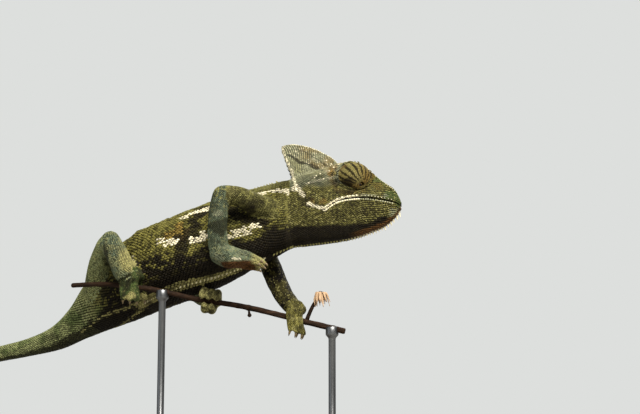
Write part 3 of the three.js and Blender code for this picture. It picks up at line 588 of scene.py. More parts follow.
DOME_RING, BAKE_HALF = 0.76, 0.0015


def studs(name, body, faces, shade, tint):
    """Many small bodies in one mesh, all with the same faces, and a colour each, scaled at its corners by
    factors that paint shade and highlight.
    """
    first = (np.arange(len(body)) * body.shape[1])[:, None, None]
    thing = build(name, body.reshape(-1, 3), [(first + f).reshape(-1, f.shape[-1]) for f in faces])
    dye(thing, (tint[:, None] * shade[:, None]).reshape(-1, 3))
    return thing


def domes(name, roots, up, lie, long, wide, high, tint, bake, sides=6, power=2.0, sink=0.12, crown=0.7):
    """Low domes, all one mesh. Each is a base ring sunk under the skin, a ring at DOME_RING of the radius and
    crown of the height, and a top point, stretched along its lie. Its outline is the curve where the powers
    of both coordinates add to 1, round at 2 and a diamond at 1. Colour darkens toward the base as painted
    shade in the gaps between scales and lightens at the top point as a painted highlight, and each dome is a
    patch of twice BAKE_HALF across on the OFBake map at its root's place."""
    count = len(roots)
    lie = unit(lie - up * dot(lie, up)[:, None] + 1e-9)
    across = np.cross(up, lie)
    a = 2 * np.pi * (np.arange(sides) + 0.5 * (sides % 4 > 0)) / sides
    ring = columns(np.cos(a), np.sin(a))
    ring /= (np.abs(ring) ** power).sum(1, keepdims=True) ** (1 / power)
    flat = np.vstack([ring, DOME_RING * ring, [[0, 0]]])
    level = np.repeat([-1.0, crown, 1.0], [sides, sides, 1])
    long, wide, high = (np.broadcast_to(v, count)[:, None] for v in (long, wide, high))
    height = np.where(level < 0, -sink, level * high)
    body = (roots[:, None] + lie[:, None] * (flat[:, 0] * long)[..., None]
            + across[:, None] * (flat[:, 1] * wide)[..., None] + up[:, None] * height[..., None])
    i = np.arange(sides)
    j = (i + 1) % sides
    top = columns(sides + i, sides + j, np.full(sides, 2 * sides))
    # Shade factors: painted shade toward the sunk base ring, painted highlight at the top point.
    thing = studs(name, body, (columns(i, j, sides + j, sides + i), top, i[None, ::-1]),
                  np.repeat([0.3, 0.9, 1.15], [sides, sides, 1]), tint)
    uv = (bake[:, None] + BAKE_HALF * flat).reshape(-1, 2)
    corner = read(thing.data.loops, "vertex_index", 1, np.int32)[:, 0]
    thing.data.uv_layers.new(name="OFBake").data.foreach_set("uv", uv[corner].astype(np.float32).ravel())
    return thing


def rows_of_scales(rings, long, wide, start, rng, jitter=0.13):
    """Roots in staggered rows along a grid of closed rings, with a scale's length and half width given for
    every ring. Rings are taken every half length of the way, and on each the roots stand two half widths apart
    along its arc, from the start column both ways, every other ring moved on by one. Gives the roots, the way
    each one's row runs, its length and its half width."""
    way = walked(rings)
    index = np.arange(len(way))
    turned = np.roll(rings, -start, 1)
    turned = np.concatenate([turned, turned[:, :1]], 1)

    def stand(at, j=None):
        i = np.clip(np.interp(at, way, index), 0, len(way) - 1.001)
        ring = turned[int(i)] + (turned[int(i) + 1] - turned[int(i)]) * (i % 1)
        arc, b = walked(ring), np.interp(i, index, wide)
        if j is None:
            count = round(arc[-1] / b / 2)
            j = np.arange(count) - (count - 1) // 2
        u = np.interp((2 * b * j) % arc[-1], arc, np.arange(len(arc)))
        low = np.minimum(u.astype(int), len(ring) - 2)
        return ring[low] + (ring[low + 1] - ring[low]) * (u - low)[:, None], j, b

    found, at, odd = [], long[0] / 4, 0
    while at < way[-1]:
        size = np.interp(at, way, long)
        _, j, b = stand(at)
        j = j + 0.5 * odd + jitter * rng.uniform(-0.5, 0.5, len(j))
        here = at + jitter * size * rng.uniform(-0.5, 0.5)
        back, ahead = (stand(place, j)[0] for place in (max(here - size / 4, 0), min(here + size / 4, way[-1])))
        root = stand(here, j)[0] + jitter * min(size, b) * rng.uniform(-0.5, 0.5, (len(j), 3))
        found.append((root, ahead - back, np.full(len(j), size), np.full(len(j), b)))
        at, odd = at + size / 2, 1 - odd
    root, lie, size, b = (np.concatenate(column) for column in zip(*found))
    return root, unit(lie + 1e-9), size, b


# ---- markings
# Curves on the head in side view, x and z in head coordinates.
FURROW = np.array([[-5.2, 19], [-2.9, 17.8], [-0.2, 15.3], [2.4, 14.7], [5.6, 13.2], [8.9, 11], [10, 10]])
EDGE_LINE = np.array([[-5.2, 21.4], [-1.5, 21.6], [2.5, 20.2], [6.5, 17.6], [10.2, 14.6], [13.2, 11.8]])
TEMPLE = np.array([[3.2, 3.3], [6.8, 4.4], [10.9, 5.4], [14, 6.2]])
CHEEK_STRIPE = np.array([[-2, 1.6], [-0.4, 0.9], [0.8, 0.3], [2.2, -1.7]])
TICK = np.array([[4.4, -5.5], [5.3, -5.9], [6.3, -6.3], [7.4, -6.65], [8.9, -7.3], [10.3, -7.45], [11.4, -8]])
CANTHUS = np.array([[31.2, 8.4], [34, 6.4], [36.4, 4.6], [38.8, 3], [41.4, 0.8]])
THROAT_LINE = np.array([[-3, -15.5], [-1, -14.95], [4.9, -15], [8.9, -14.6], [15.1, -14.4], [21.3, -14.3],
                        [27.5, -13.85], [30.3, -12.3], [33.7, -10.5], [37.5, -10.1], [40.3, -9.7], [46, -9]])
CASQUE_EDGE = CASQUE[:, :2]
CASQUE_REAR = CASQUE[:, [2, 4]]
# Lines on the head: curve, half width, hue, strength and raggedness.
HEAD_LINES = [
    (FURROW, 0.75, "umber", 0.72, 1.1), (EDGE_LINE, 0.38, "umber", 0.5, 0.9), (CHEEK_STRIPE, 0.9, "cream", 0.85, 0.5),
    (TICK, 0.75, "cream", 0.95, 0.25), (TEMPLE, 0.35, "cream", 0.3, 1.2),
    (CASQUE_REAR + [0.8, 0], 0.7, "cream", 0.6, 1.2),
]
# Spots on the head: x, z, half lengths, hue, strength and raggedness.
HEAD_SPOTS = [
    (14.2, 7.9, 2.9, 1.7, "ochre", 0.75, 0.35), (15.4, 8.3, 1.5, 0.9, "moss", 0.6, 0.2),
    (15.6, 11.1, 1.4, 1.2, "rust", 0.45, 0.3), (16.2, 3.6, 2.1, 3, "umber", 0.62, 0.8),
    (20, -0.2, 4.5, 1.1, "umber", 0.7, 0.5), (9.5, -5.2, 4, 2, "ochre", 0.45, 0.8),
    (3, -5, 3, 3, "umber", 0.5, 0.9), (24, -8, 8, 3, "umber", 0.2, 1),
    (3, 5.2, 8, 4.6, "shade", 0.42, 0.5), (12.5, 4.6, 5, 3.2, "shade", 0.25, 0.8),
    (34, 4.6, 3.6, 3.4, "leaf", 0.6, 0.5), (41.5, -1, 5, 5, "leaf", 0.75, 0.5),
    (40.5, -8, 3.8, 2.6, "stone", 0.7, 0.5),
    (30.5, -1.4, 6, 0.9, "stone", 0.5, 0.8), (33.5, 3, 3, 2.2, "ochre", 0.4, 0.6),
]
# Curves on the trunk: place along the spine and girth in degrees from the back.
BACK_STRIPE = np.array([[-0.05, 66], [0.2, 60], [0.5, 56], [0.95, 50], [1.3, 51], [1.6, 54], [2.2, 59], [2.9, 64.5],
                        [3.35, 69]])
OBLIQUE_BAND = np.array([[2.9, 60], [3.0, 76], [3.1, 90], [3.3, 105], [3.5, 122], [3.6, 140]])
# Armpit line: partly dark skin, partly painted shade where the upper arm meets the flank.
ARMPIT = np.array([[2.1, 80], [1.95, 90], [1.8, 97], [1.6, 103], [1.42, 108]])
VENT_STRIPE = np.array([[2.3, 180], [5.3, 180], [6.05, 172], [6.4, 166], [6.9, 158], [7.4, 158], [8.0, 156]])
# Below this edge's girth the trunk and tail turn umber: partly dark skin, partly painted shade on the underside.
DARK_EDGE = np.array([[0, 122], [0.6, 124], [0.9, 124], [1.2, 120], [1.6, 123], [2, 128], [2.3, 128], [3.05, 130],
                      [3.3, 132], [3.6, 133], [3.8, 129], [4.05, 125], [4.3, 118], [5, 114], [6, 120], [6.85, 150],
                      [7.75, 148], [8.55, 136], [9, 133], [9.6, 136], [11, 142], [45, 150]])
# Lines on the trunk, as those of the head.
TRUNK_LINES = [(OBLIQUE_BAND, 2.6, "umber", 0.85, 1), (ARMPIT, 2.2, "umber", 0.9, 0.6),
               (BACK_STRIPE, 1.15, "cream", 1, 0.4)]
# Millimetres to a row of the spine table and to a degree of girth, where the trunk is laid out flat.
TRUNK_SPREAD = np.array([14, 0.3])
# Spots on the trunk and tail: place, girth, half lengths, hue, strength and raggedness.
TRUNK_SPOTS = [
    (3.52, 98, 0.34, 20, "ochre", 0.6, 0.5), (2.12, 97, 0.17, 8, "moss", 0.7, 0.4),
    (0.35, 84, 0.5, 14, "moss", 0.5, 0.9),
    # The shade spot at place 5.9 is a painted shadow of the near hind leg on the tail base.
    (5.9, 85, 0.7, 30, "shade", 0.35, 1.2), (6.2, 125, 0.32, 38, "umber", 0.85, 0.3),
    (7.9, 108, 0.35, 20, "leaf", 0.6, 0.9),
    (9.2, 100, 0.4, 22, "shade", 0.45, 1), (10.4, 96, 0.3, 26, "leaf", 0.6, 1), (12, 90, 0.5, 40, "shade", 0.5, 1),
    (1.64, 112, 0.2, 6, "cream", 0.9, 0.5), (1.92, 115.5, 0.26, 8.5, "cream", 0.72, 0.6),
    (2.18, 118, 0.15, 8, "cream", 0.6, 0.6), (3.08, 115, 0.26, 7, "cream", 1, 0.5),
    (2.86, 109, 0.12, 7, "cream", 0.9, 0.4), (3.68, 109, 0.27, 8, "cream", 1, 0.25),
    (3.92, 103, 0.16, 6, "cream", 0.95, 0.4), (4.9, 112, 0.12, 5, "cream", 0.25, 0.5),
]
# Spots on the limbs: name, world x and z, half lengths, hue, strength and raggedness.
LIMB_SPOTS = [
    ("forearm_r", 11.5, 114.8, 6, 4.6, "shade", 0.8, 0.6), ("forearm_r", 11, 119.6, 3.4, 1.8, "stone", 0.5, 0.5),
    # The two umber spots on upper_arm_r darken its lower side: partly its own dark brown, partly painted shade.
    ("forearm_r", 8.2, 122.5, 3.5, 5, "shade", 0.5, 0.7), ("upper_arm_r", 17, 122, 9, 2.6, "umber", 0.85, 0.5),
    ("upper_arm_r", 22, 124.8, 7, 2.4, "umber", 0.6, 0.7), ("upper_arm_r", 14, 129.6, 5, 2.4, "straw", 0.2, 0.5),
    ("hand_r", 20.6, 100.4, 4, 1, "cream", 0.7, 0.8), ("shank_r", -31, 104, 4, 9, "straw", 0.85, 0.3),
    # The umber spots on shank_r and thigh_r, at x near -42, are painted shadow in the gap between thigh and shank.
    ("shank_r", -41.5, 101, 2.6, 9, "umber", 0.7, 0.4), ("foot_r", -33, 95.5, 8, 4, "shade", 0.8, 0.5),
    ("thigh_r", -43.5, 98, 2.4, 10, "umber", 0.8, 0.3), ("foot_r", -29, 87.2, 3, 2.2, "straw", 0.9, 0.5),
]
# Base colour of each limb and foot, its second colour, how strongly it mottles and in what cell.
LIMB_DRESS = {
    "upper_arm_r": ("moss", "umber", 0.5, 2), "forearm_r": ("sage", "shade", 0.4, 2.2),
    # The far forelimb's and hand_l's dark dress: partly their own dark bands, partly painted shade under the body.
    "upper_arm_l": ("umber", "olive", 0.2, 2), "forearm_l": ("umber", "olive", 0.35, 2),
    "thigh_r": ("tail", "sage", 0.3, 2.6), "shank_r": ("sage", "straw", 0.3, 2.4),
    "thigh_l": ("tail", "sage", 0.5, 2.6), "shank_l": ("sage", "olive", 0.4, 2.2),
    "hand_r": ("sage", "stone", 0.3, 1.6), "hand_l": ("olive", "umber", 0.6, 1.7),
    "foot_r": ("leaf", "shade", 0.8, 1.8), "foot_l": ("straw", "umber", 0.75, 1.5),
}


def srgb(code):
    """Linear colour of a six-figure screen colour."""
    c = np.array([*code.to_bytes(3, "big")]) / 255
    return tuple(float(v) for v in np.where(c < 0.04045, c / 12.92, ((c + 0.055) / 1.055) ** 2.4))


def colour_property(name, description, code):
    return FloatVectorProperty(name=name, description=description, subtype="COLOR", size=3, min=0, max=1,
                               default=srgb(code))


def length_property(name, description, mm, least=0.01):
    return FloatProperty(name=name, description=description, subtype="DISTANCE", unit="LENGTH",
                         default=mm * MM, min=least * MM, soft_max=mm * MM * 4)


class SkinColours(bpy.types.PropertyGroup):
    """Colours of the animal's skin and scales."""
    olive: colour_property("Olive", "Upper flank", 0x6F6A33)
    moss: colour_property("Moss", "Back, beside the crest", 0x7A7743)
    # Umber is the dark skin of the lower flank and throat, and also carries painted shade there.
    umber: colour_property("Umber", "Lower flank and throat", 0x140E06)
    cream: colour_property("Cream", "Stripe, blotches and lips", 0xE9E0C0)
    khaki: colour_property("Khaki", "Cheeks and jaw", 0x666233)
    stone: colour_property("Stone", "Casque and temple", 0x98997C)
    ochre: colour_property("Ochre", "Streaks of the casque and round the eyes", 0x86692F)
    rust: colour_property("Rust", "Skin between the throat's cones", 0x6B4A26)
    sage: colour_property("Sage", "Near limbs", 0x616D57)
    leaf: colour_property("Leaf", "Snout and feet", 0x4F5F31)
    shade: colour_property("Dark limb", "Far limbs and mottling", 0x222211)
    pad: colour_property("Pad", "Palms and soles", 0x5A3310)
    straw: colour_property("Straw", "Toes and pale edges", 0xA8A268)
    tail: colour_property("Tail", "Upper side of the tail", 0x8A9060)


class SkinSizes(bpy.types.PropertyGroup):
    """Sizes of the skin and its scales."""
    voxel: length_property("Skin grain", "Edge of the cells that the skin is joined from", 0.52, 0.3)
    sunk: length_property("Skin depth", "How far the skin lies under the solids", 0.24)
    grain: FloatProperty(name="Scale size", description="Size of the scales against their usual size",
                         default=1.0, min=0.7, max=3.0)
    high: length_property("Scale height", "Height of a fine scale over the skin", 0.2, 0.05)


def mixed(base, other, mask):
    """Colours moved toward another by a mask from 0 to 1."""
    return base + (np.asarray(other) - base) * np.clip(mask, 0, 1)[:, None]


def palette(hues):
    """The skin's colours by name."""
    return {name: np.array(getattr(hues, name)) for name in SkinColours.__annotations__}


class Coat:
    """Colours of points under way, on which hues are laid by their names."""

    def __init__(self, hues, out, count=1):
        self.hues, self.out = hues, np.tile(hues[out], (count, 1)) if isinstance(out, str) else out

    def lay(self, hue, mask):
        """Moves all colours toward the hue by a mask from 0 to 1."""
        self.out = mixed(self.out, self.hues[hue], mask)

    def stamp(self, flat, spots, rough, lone, only=1):
        """Lays oval spots: each fades out at its half lengths, with an edge moved by the rough field. A cream
        spot takes or leaves whole scales by their lone number."""
        for u, v, long, wide, hue, strength, ragged in spots:
            mask = smooth(2.4 * (1 - np.hypot((flat[:, 0] - u) / long, (flat[:, 1] - v) / wide) + ragged * rough))
            if hue == "cream":
                mask = mask > 0.15 + 0.6 * lone
            self.lay(hue, strength * mask * only)

    def stroke(self, flat, lines, rough):
        """Lays lines, soft at their edges and of a width that the rough field varies."""
        for curve, half, hue, strength, ragged in lines:
            d, _ = to_line(flat, curve)
            self.lay(hue, strength * smooth((half * (1 + ragged * rough) - d) / (0.4 * half) + 0.5))


def trunk_markings(place, c, patch, speck, lone):
    """Trunk and tail: moss along the back, olive flanks, umber below a wandering edge (partly dark skin,
    partly painted shade on the underside), with dark scales strewn in rows, a cream stripe, blotches, an
    oblique band and a pale line along the vent."""
    p, t, girth = place.points, place.t, place.girth
    flank = t < 6.5
    flat = columns(t, girth)
    slim = flat * TRUNK_SPREAD
    rows = noise(columns(t * 14 * 0.30, girth * 0.3 * 1.35, 0 * t), 1.0, 5)
    cream, dull = ([s for s in TRUNK_SPOTS if (s[4] == "cream") == pale] for pale in (True, False))
    coat = Coat(c, "olive", len(p))
    lay = coat.lay
    lay("moss", smooth((66 + 16 * patch - girth) / 30))
    lay("khaki", 0.7 * smooth((1.0 - t) / 0.9))
    lay("shade", 0.35 * smooth((2.2 - t) / 1.2) * smooth((54 - girth) / 8))
    lay("tail", smooth((t - 6.3) / 1.2))
    lay("leaf", 0.6 * smooth(noise(p, 4.0, 6) * 2 + 0.2) * smooth((t - 6) / 1))
    coat.stamp(flat, dull, patch, lone)
    strewn = 0.10 + 0.32 * smooth((girth - 62) / 60) + 0.5 * rows + 0.25 * patch
    lay("umber", 0.62 * (lone < strewn) * np.where(flank, 1, 0.6))
    # Umber below the wandering edge: partly the underside's dark skin, partly painted shade.
    edge = np.interp(t, *DARK_EDGE.T)
    below = smooth((girth - edge + 9 * patch + 9 * rows) / 14 + 0.5)
    lay("umber", below * np.where(t > 7.5, 0.8, 0.97))
    glow = below * flank * smooth((t - 2.5) / 1.2) * (girth < 166) * smooth((166 - girth) / 30)
    lay("olive", 0.75 * glow * (rows + 0.5 * speck > 0.15) * (lone > 0.35))
    # The ARMPIT line among these is partly painted shade under the upper arm.
    coat.stroke(slim, [(curve * TRUNK_SPREAD, *rest) for curve, *rest in TRUNK_LINES], patch)
    coat.stamp(flat, cream, speck, lone)
    d, _ = to_line(slim, VENT_STRIPE * TRUNK_SPREAD)
    lay("straw", 0.75 * smooth((1.1 + 0.4 * patch - d) * 1.6) * (t > 2.2) * (t < 8.1))
    return coat.out


def head_markings(place, c, patch, _, lone):
    """Head and casque: khaki cheeks netted with dark, a grey-green temple, a casque that is ochre and stone
    over its furrow and olive-grey under it, a green snout, a dark throat that is partly painted shade, and
    cream lips behind."""
    x, _, z = place.head.T
    flat = columns(x, z)
    keel = np.interp(x, HEAD[::-1, 0], HEAD[::-1, 12])
    coat = Coat(c, "khaki", len(x))
    lay = coat.lay
    upper = smooth((z - 1.2 - 0.1 * (x - 10)) / 3.5 + 0.3 * patch) * smooth((21 - x) / 5)
    lay("stone", 0.8 * upper)
    lay("sage", 0.5 * upper * smooth((9 - z) / 4) * smooth(0.5 + patch))
    _, above = to_line(flat, FURROW)
    crown = smooth((z - 8 + 0.35 * x) / 2) * (x < 14.5)
    over = crown * (above > 0)
    lay("ochre", 0.45 * over * smooth(0.6 + 1.2 * patch))
    lay("rust", 0.22 * over * (lone > 0.75))
    lay("moss", 0.35 * crown * (above < 0) * smooth(0.4 + patch))
    lay("cream", 0.45 * (over > 0) * (lone > 0.86))
    eye = np.hypot((x - EYE[0]) / 1.05, z - EYE[2])
    lay("ochre", 0.55 * smooth(1 - np.abs(eye - 8.2) / 2.4) * smooth(0.6 + patch))
    cheek = smooth((3 - z) / 3)
    lay("umber", 0.7 * cheek * (lone < 0.36 + 0.22 * patch))
    lay("straw", 0.5 * cheek * (lone > 0.86))
    coat.stamp(flat, HEAD_SPOTS, patch, lone)
    lay("straw", 0.55 * smooth((x - 34) / 4) * (lone > 0.8))
    # Dark throat below THROAT_LINE: partly its own dark colour, partly painted shade under the head.
    under = np.interp(x, *THROAT_LINE.T)
    lay("umber", 0.96 * smooth((under + 0.7 * patch - z) / 1.0 + 0.5) * (z > keel - 3))
    lay("rust", 0.85 * smooth((keel + 1.7 - z) / 0.8) * smooth((x - 20) / 8))
    coat.stroke(flat, HEAD_LINES, patch)
    d, side = to_line(flat, MOUTH)
    lay("cream", smooth((1.2 - d) * 3) * smooth((x - 10.0) / 1) * smooth((27 - x) / 4) * (side < 0))
    lay("umber", 0.85 * smooth((0.42 - d) * 5) * smooth((x - 11) / 1.5))
    return coat.out


def limb_markings(place, c, patch, speck, lone):
    """Limbs and feet: two colours mottled together, spots, pale toe sides and ochre palms."""
    p = place.points
    names = LIMB_NAMES + FOOT_NAMES
    which = np.where(place.region == LIMB, place.index, len(LIMB_NAMES) + place.index)
    which = np.where(place.region >= LIMB, which, 0)
    first, second, share, cell = (np.array(column)[which] for column in zip(
        *((c[one], c[other], mottled, size) for one, other, mottled, size in (LIMB_DRESS[n] for n in names))))
    bands = smooth(0.5 + 1.1 * noise(p / cell[:, None], 1.0, 9) + 0.35 * speck)
    coat = Coat(c, first + (second - first) * (share * bands)[:, None])
    lay = coat.lay
    lay("straw", 0.35 * (lone > 0.84))
    lay("shade", 0.5 * (lone < 0.14))
    name = np.array(names)[which]
    for limb, *spot in LIMB_SPOTS:
        coat.stamp(p[:, ::2], [spot], patch, lone, name == limb)
    x, _, z = p.T
    hand = name == "hand_r"
    lay("pad", 0.9 * hand * smooth((99.8 - z - 0.1 * speck) / 0.9) * smooth((x - 12) / 2))
    lay("straw", 0.8 * hand * smooth((x - 25) / 2.5))
    lay("straw", 0.45 * (name == "hand_l") * smooth((78.5 - z) / 1.5) * smooth(0.2 + patch))
    return coat.out


def markings(place, hues, seed=0):
    """Colour of the animal at each place, by region, from three rough fields and a lone number a place."""
    patch, speck = noise(place.points, 2.6, 2), noise(place.points, 1.1, 3 + seed)
    lone = np.random.default_rng(11 + seed).random(len(place.points))
    region = place.region[:, None]
    fields = (place, palette(hues), patch, speck, lone if seed else np.full(len(lone), 0.5))
    return np.where(region == TRUNK, trunk_markings(*fields),
                    np.where(region <= CASQUEPIECE, head_markings(*fields), limb_markings(*fields)))


# ---- finishes
class Wire:
    """A shader socket with arithmetic: each operation adds one Math node."""

    def __init__(self, finish, socket):
        self.finish, self.socket = finish, socket

    def _math(self, operation, first, second):
        return self.finish.add("ShaderNodeMath", {"operation": operation}, first, second)

    def __add__(self, other):
        return self._math("ADD", self, other)

    def __sub__(self, other):
        return self._math("SUBTRACT", self, other)

    def __rsub__(self, other):
        return self._math("SUBTRACT", other, self)

    def __mul__(self, other):
        return self._math("MULTIPLY", self, other)

    __radd__, __rmul__ = __add__, __mul__

    def clamp(self, low=0.0, high=1.0):
        return self.finish.add("ShaderNodeClamp", {}, self, low, high)


def rgba(colour):
    """A colour for a socket, from three linear parts or from a six-figure screen colour."""
    return (*(srgb(colour) if isinstance(colour, int) else colour), 1.0)


class Finish:
    """A material under way: its node tree, its shader, and one method that adds any other node."""

    def __init__(self, name, roughness=0.6, **fixed):
        self.material = bpy.data.materials.new(name)
        self.material.use_nodes = True
        self.tree = self.material.node_tree
        self.shader = self.tree.nodes["Principled BSDF"]
        for socket, value in {"Roughness": roughness, **fixed}.items():
            self.shader.inputs[socket.replace("_", " ")].default_value = value

    def feed(self, socket, value):
        self._give(self.shader.inputs[socket], value)

    def _give(self, socket, value):
        if isinstance(value, Wire):
            self.tree.links.new(value.socket, socket)
        elif value is not None:
            socket.default_value = rgba(value) if socket.type == "RGBA" else value

    def add(self, kind, settings, *values, out=0, **named):
        """Adds a node: its settings first, then values or links for its sockets in order or by name."""
        node = self.tree.nodes.new(kind)
        stops = settings.pop("stops", ())
        for key, value in settings.items():
            setattr(node, key, value)
        for _ in stops[2:]:
            node.color_ramp.elements.new(0.5)
        for k, (at, colour) in enumerate(stops):
            node.color_ramp.elements[k].position, node.color_ramp.elements[k].color = at, rgba(colour)
        for socket, value in zip(node.inputs, values):
            self._give(socket, value)
        for key, value in named.items():
            self._give(node.inputs[key], value)
        return Wire(self, node.outputs[out])

    def place(self):
        return self.add("ShaderNodeTexCoord", {}, out="Object")

    def tint(self):
        return self.add("ShaderNodeAttribute", {"attribute_name": "tint"}, out="Color")

    def clouds(self, scale, detail=3.0, rough=0.55, stretch=None):
        """Noise of that many cells a metre, from 0 to 1, stretched along an axis if asked."""
        where = self.place()
        if stretch:
            where = self.add("ShaderNodeMapping", {}, Vector=where, Scale=stretch)
        return self.add("ShaderNodeTexNoise", {}, Vector=where, Scale=scale, Detail=detail, Roughness=rough)

    def cells(self, scale):
        return self.add("ShaderNodeTexVoronoi", {}, Vector=self.place(), Scale=scale, out="Distance")

    def ramp(self, value, *stops):
        return self.add("ShaderNodeValToRGB", {"stops": stops}, value)

    def mix(self, factor, first, second, blend="MIX"):
        unused = (None,) * 5
        return self.add("ShaderNodeMix", {"data_type": "RGBA", "blend_type": blend}, factor, *unused, first, second,
                        out=2)

    def bump(self, height, strength, distance):
        self.feed("Normal", self.add("ShaderNodeBump", {}, Strength=strength, Distance=distance, Height=height))
        return self.material


def skin_finish():
    """Bare skin between the scales: its own markings with painted shade in fine pits, and a leathery grain."""
    f = Finish("chameleon_skin", IOR=1.4, Specular_IOR_Level=0.1)
    grain = f.cells(1700)
    soft = f.clouds(420, 4)
    # Painted shade: the markings darkened to between 0.38 and 0.72 of their colour, darkest in the grain's pits.
    colour = f.mix((grain * 1.3).clamp() * 0.55, f.mix(0.62, f.tint(), 0x000000), f.tint())
    f.feed("Base Color", f.mix(soft * 0.35, colour, f.mix(1.0, colour, (0.55, 0.5, 0.4), "MULTIPLY")))
    f.feed("Roughness", 0.5 + soft * 0.3)
    return f.bump(grain * 0.7 + soft * 0.3, 0.6, 0.0002)


def scale_finish(name, gloss=0.46, wear=0.35):
    """Horny scales: the markings in each scale's own colour, clouded inside each scale, with a dull sheen."""
    f = Finish(name, IOR=1.45, Specular_IOR_Level=0.17)
    soft, fine = f.clouds(900, 3), f.clouds(5200, 2)
    darker = f.mix(1.0, f.tint(), (0.62, 0.58, 0.5), "MULTIPLY")
    f.feed("Base Color", f.mix((soft * 1.6 - 0.45).clamp() * wear, f.tint(), darker))
    f.feed("Roughness", gloss + soft * 0.25)
    return f.bump(fine * 0.6 + soft * 0.4, 0.35, 0.00008)


# ---- the skin
# The skin's corners, for the pieces that stand on it: points, normals, sharpness and head coordinates.
MEMORY = {}
TURRET_RADIUS = 6.4
EASE_RINGS, EASE_ROUNDS = 12, 70
SHARP_BEND = 0.78
SKIN_REACH = 0.4


def socket_distance(points):
    """Distance from the middle of the closer turret in units of its radius, as stretched() shapes it."""
    head = world_to_head(points)
    head[:, 1] = np.abs(head[:, 1])
    return np.linalg.norm((head - EYE - TURRET_SHIFT) / TURRET_SHAPE, axis=1) / TURRET_RADIUS


def relief(place):
    """How far the skin stands out or in, in millimetres: soft ridges and grooves, each a Gaussian of the
    distance from its curve, over the mouth, lips, temple, casque furrow and nostril, folds round each socket,
    a lobe behind it, and slow swellings over the flank."""
    p, (x, y, z) = place.points, place.head.T
    flat = columns(x, z)
    casque, flank = place.region == CASQUEPIECE, place.region == TRUNK
    head = (place.region == HEADPIECE) | casque

    def ridge(d, wide):
        return np.exp(-(d / wide) ** 2)

    mouth, temple, canthus, furrow = (to_line(flat, curve)[0] for curve in (MOUTH, TEMPLE, CANTHUS, FURROW))
    rise = head * smooth((x - 10) / 1.5) * (-0.6 * ridge(mouth, 0.4) + 0.3 * ridge(mouth - 1.0, 0.5))
    rise += head * 0.45 * ridge(temple, 0.9)
    rise += head * 0.35 * ridge(canthus, 0.7) * smooth((np.abs(y) - 1.5) / 2)
    rise += casque * (-0.4 * ridge(furrow, 1.0) + 0.15 * ridge(furrow - 2, 1.2))
    off = (socket_distance(p) - 1) * TURRET_RADIUS
    skin = head * (place.index == 0)
    rise += skin * (0.55 * ridge(off - 0.4, 0.5) - 0.3 * ridge(off - 1.5, 0.4) + 0.2 * ridge(off - 2.3, 0.5))
    rise += skin * 0.9 * np.exp(-((x - 14.1) / 2.2) ** 2 - ((z - 7.9) / 1.3) ** 2)
    folds = ridge(off - 1.9, 1.8) * smooth((18 - x) / 2) * smooth((6.5 - z) / 2)
    rise += skin * 0.32 * folds * np.cos(22 * np.arctan2(z - EYE[2], x - EYE[0]))
    hole = np.linalg.norm(columns(x, np.abs(y), z) - NOSTRIL, axis=1)
    rise += head * (-0.9 * ridge(hole, 0.55) + 0.2 * ridge(hole - 1.1, 0.4))
    rise += head * 0.10 * noise(p, 2.2, 24) * (np.abs(off) > 2)
    flank = flank * smooth((place.t - 1.2) / 1) * smooth((7 - place.t) / 1)
    rise += flank * (0.32 * noise(p, 5.5, 21) + 0.16 * noise(p, 2.4, 22))
    folds = 0.22 * np.cos(place.t * 14 * 1.1 + 1.5 * noise(p, 6.0, 25)) * smooth((place.t - 2.6) / 0.8)
    rise += flank * (np.abs(place.girth - 80) < 30) * folds
    rise += 0.12 * noise(p, 3.0, 23) * (place.region >= LIMB)
    return rise - 0.36 * smooth((x - 42) / 2) * (z < 3)


def edge_ends(mesh):
    """First and second corner of every edge."""
    return read(mesh.edges, "vertices", 2, np.int32).T


def eased_joints(mesh, points, place):
    """Points of the skin without creases between its regions: each point moves toward the mean of its
    neighbours, EASE_ROUNDS times, by a share that fades away from the border and is largest at the neck."""
    a, b = edge_ends(mesh)
    part = place.region * 8 + place.index
    share = np.zeros(len(points))
    border = (part[a] != part[b]) & (place.region[a] != FOOT) & (place.region[b] != FOOT)
    share[a[border]] = share[b[border]] = 1
    for _ in range(EASE_RINGS):
        wider = share.copy()
        np.maximum.at(wider, a, share[b] - 1 / EASE_RINGS)
        np.maximum.at(wider, b, share[a] - 1 / EASE_RINGS)
        share = wider
    head = world_to_head(points)
    neck = (head[:, 0] < 7) & (head[:, 2] < 9) & (place.region < LIMB)
    share = share * np.where(neck, 1, 0.3) * (socket_distance(points) > 1.25)
    all_of = len(points)
    count = np.bincount(a, minlength=all_of) + np.bincount(b, minlength=all_of)
    for _ in range(EASE_ROUNDS):
        total = np.column_stack([np.bincount(a, column[b], all_of) + np.bincount(b, column[a], all_of)
                                 for column in points.T])
        points = points + (0.5 * share)[:, None] * (total / count[:, None] - points)
    return points


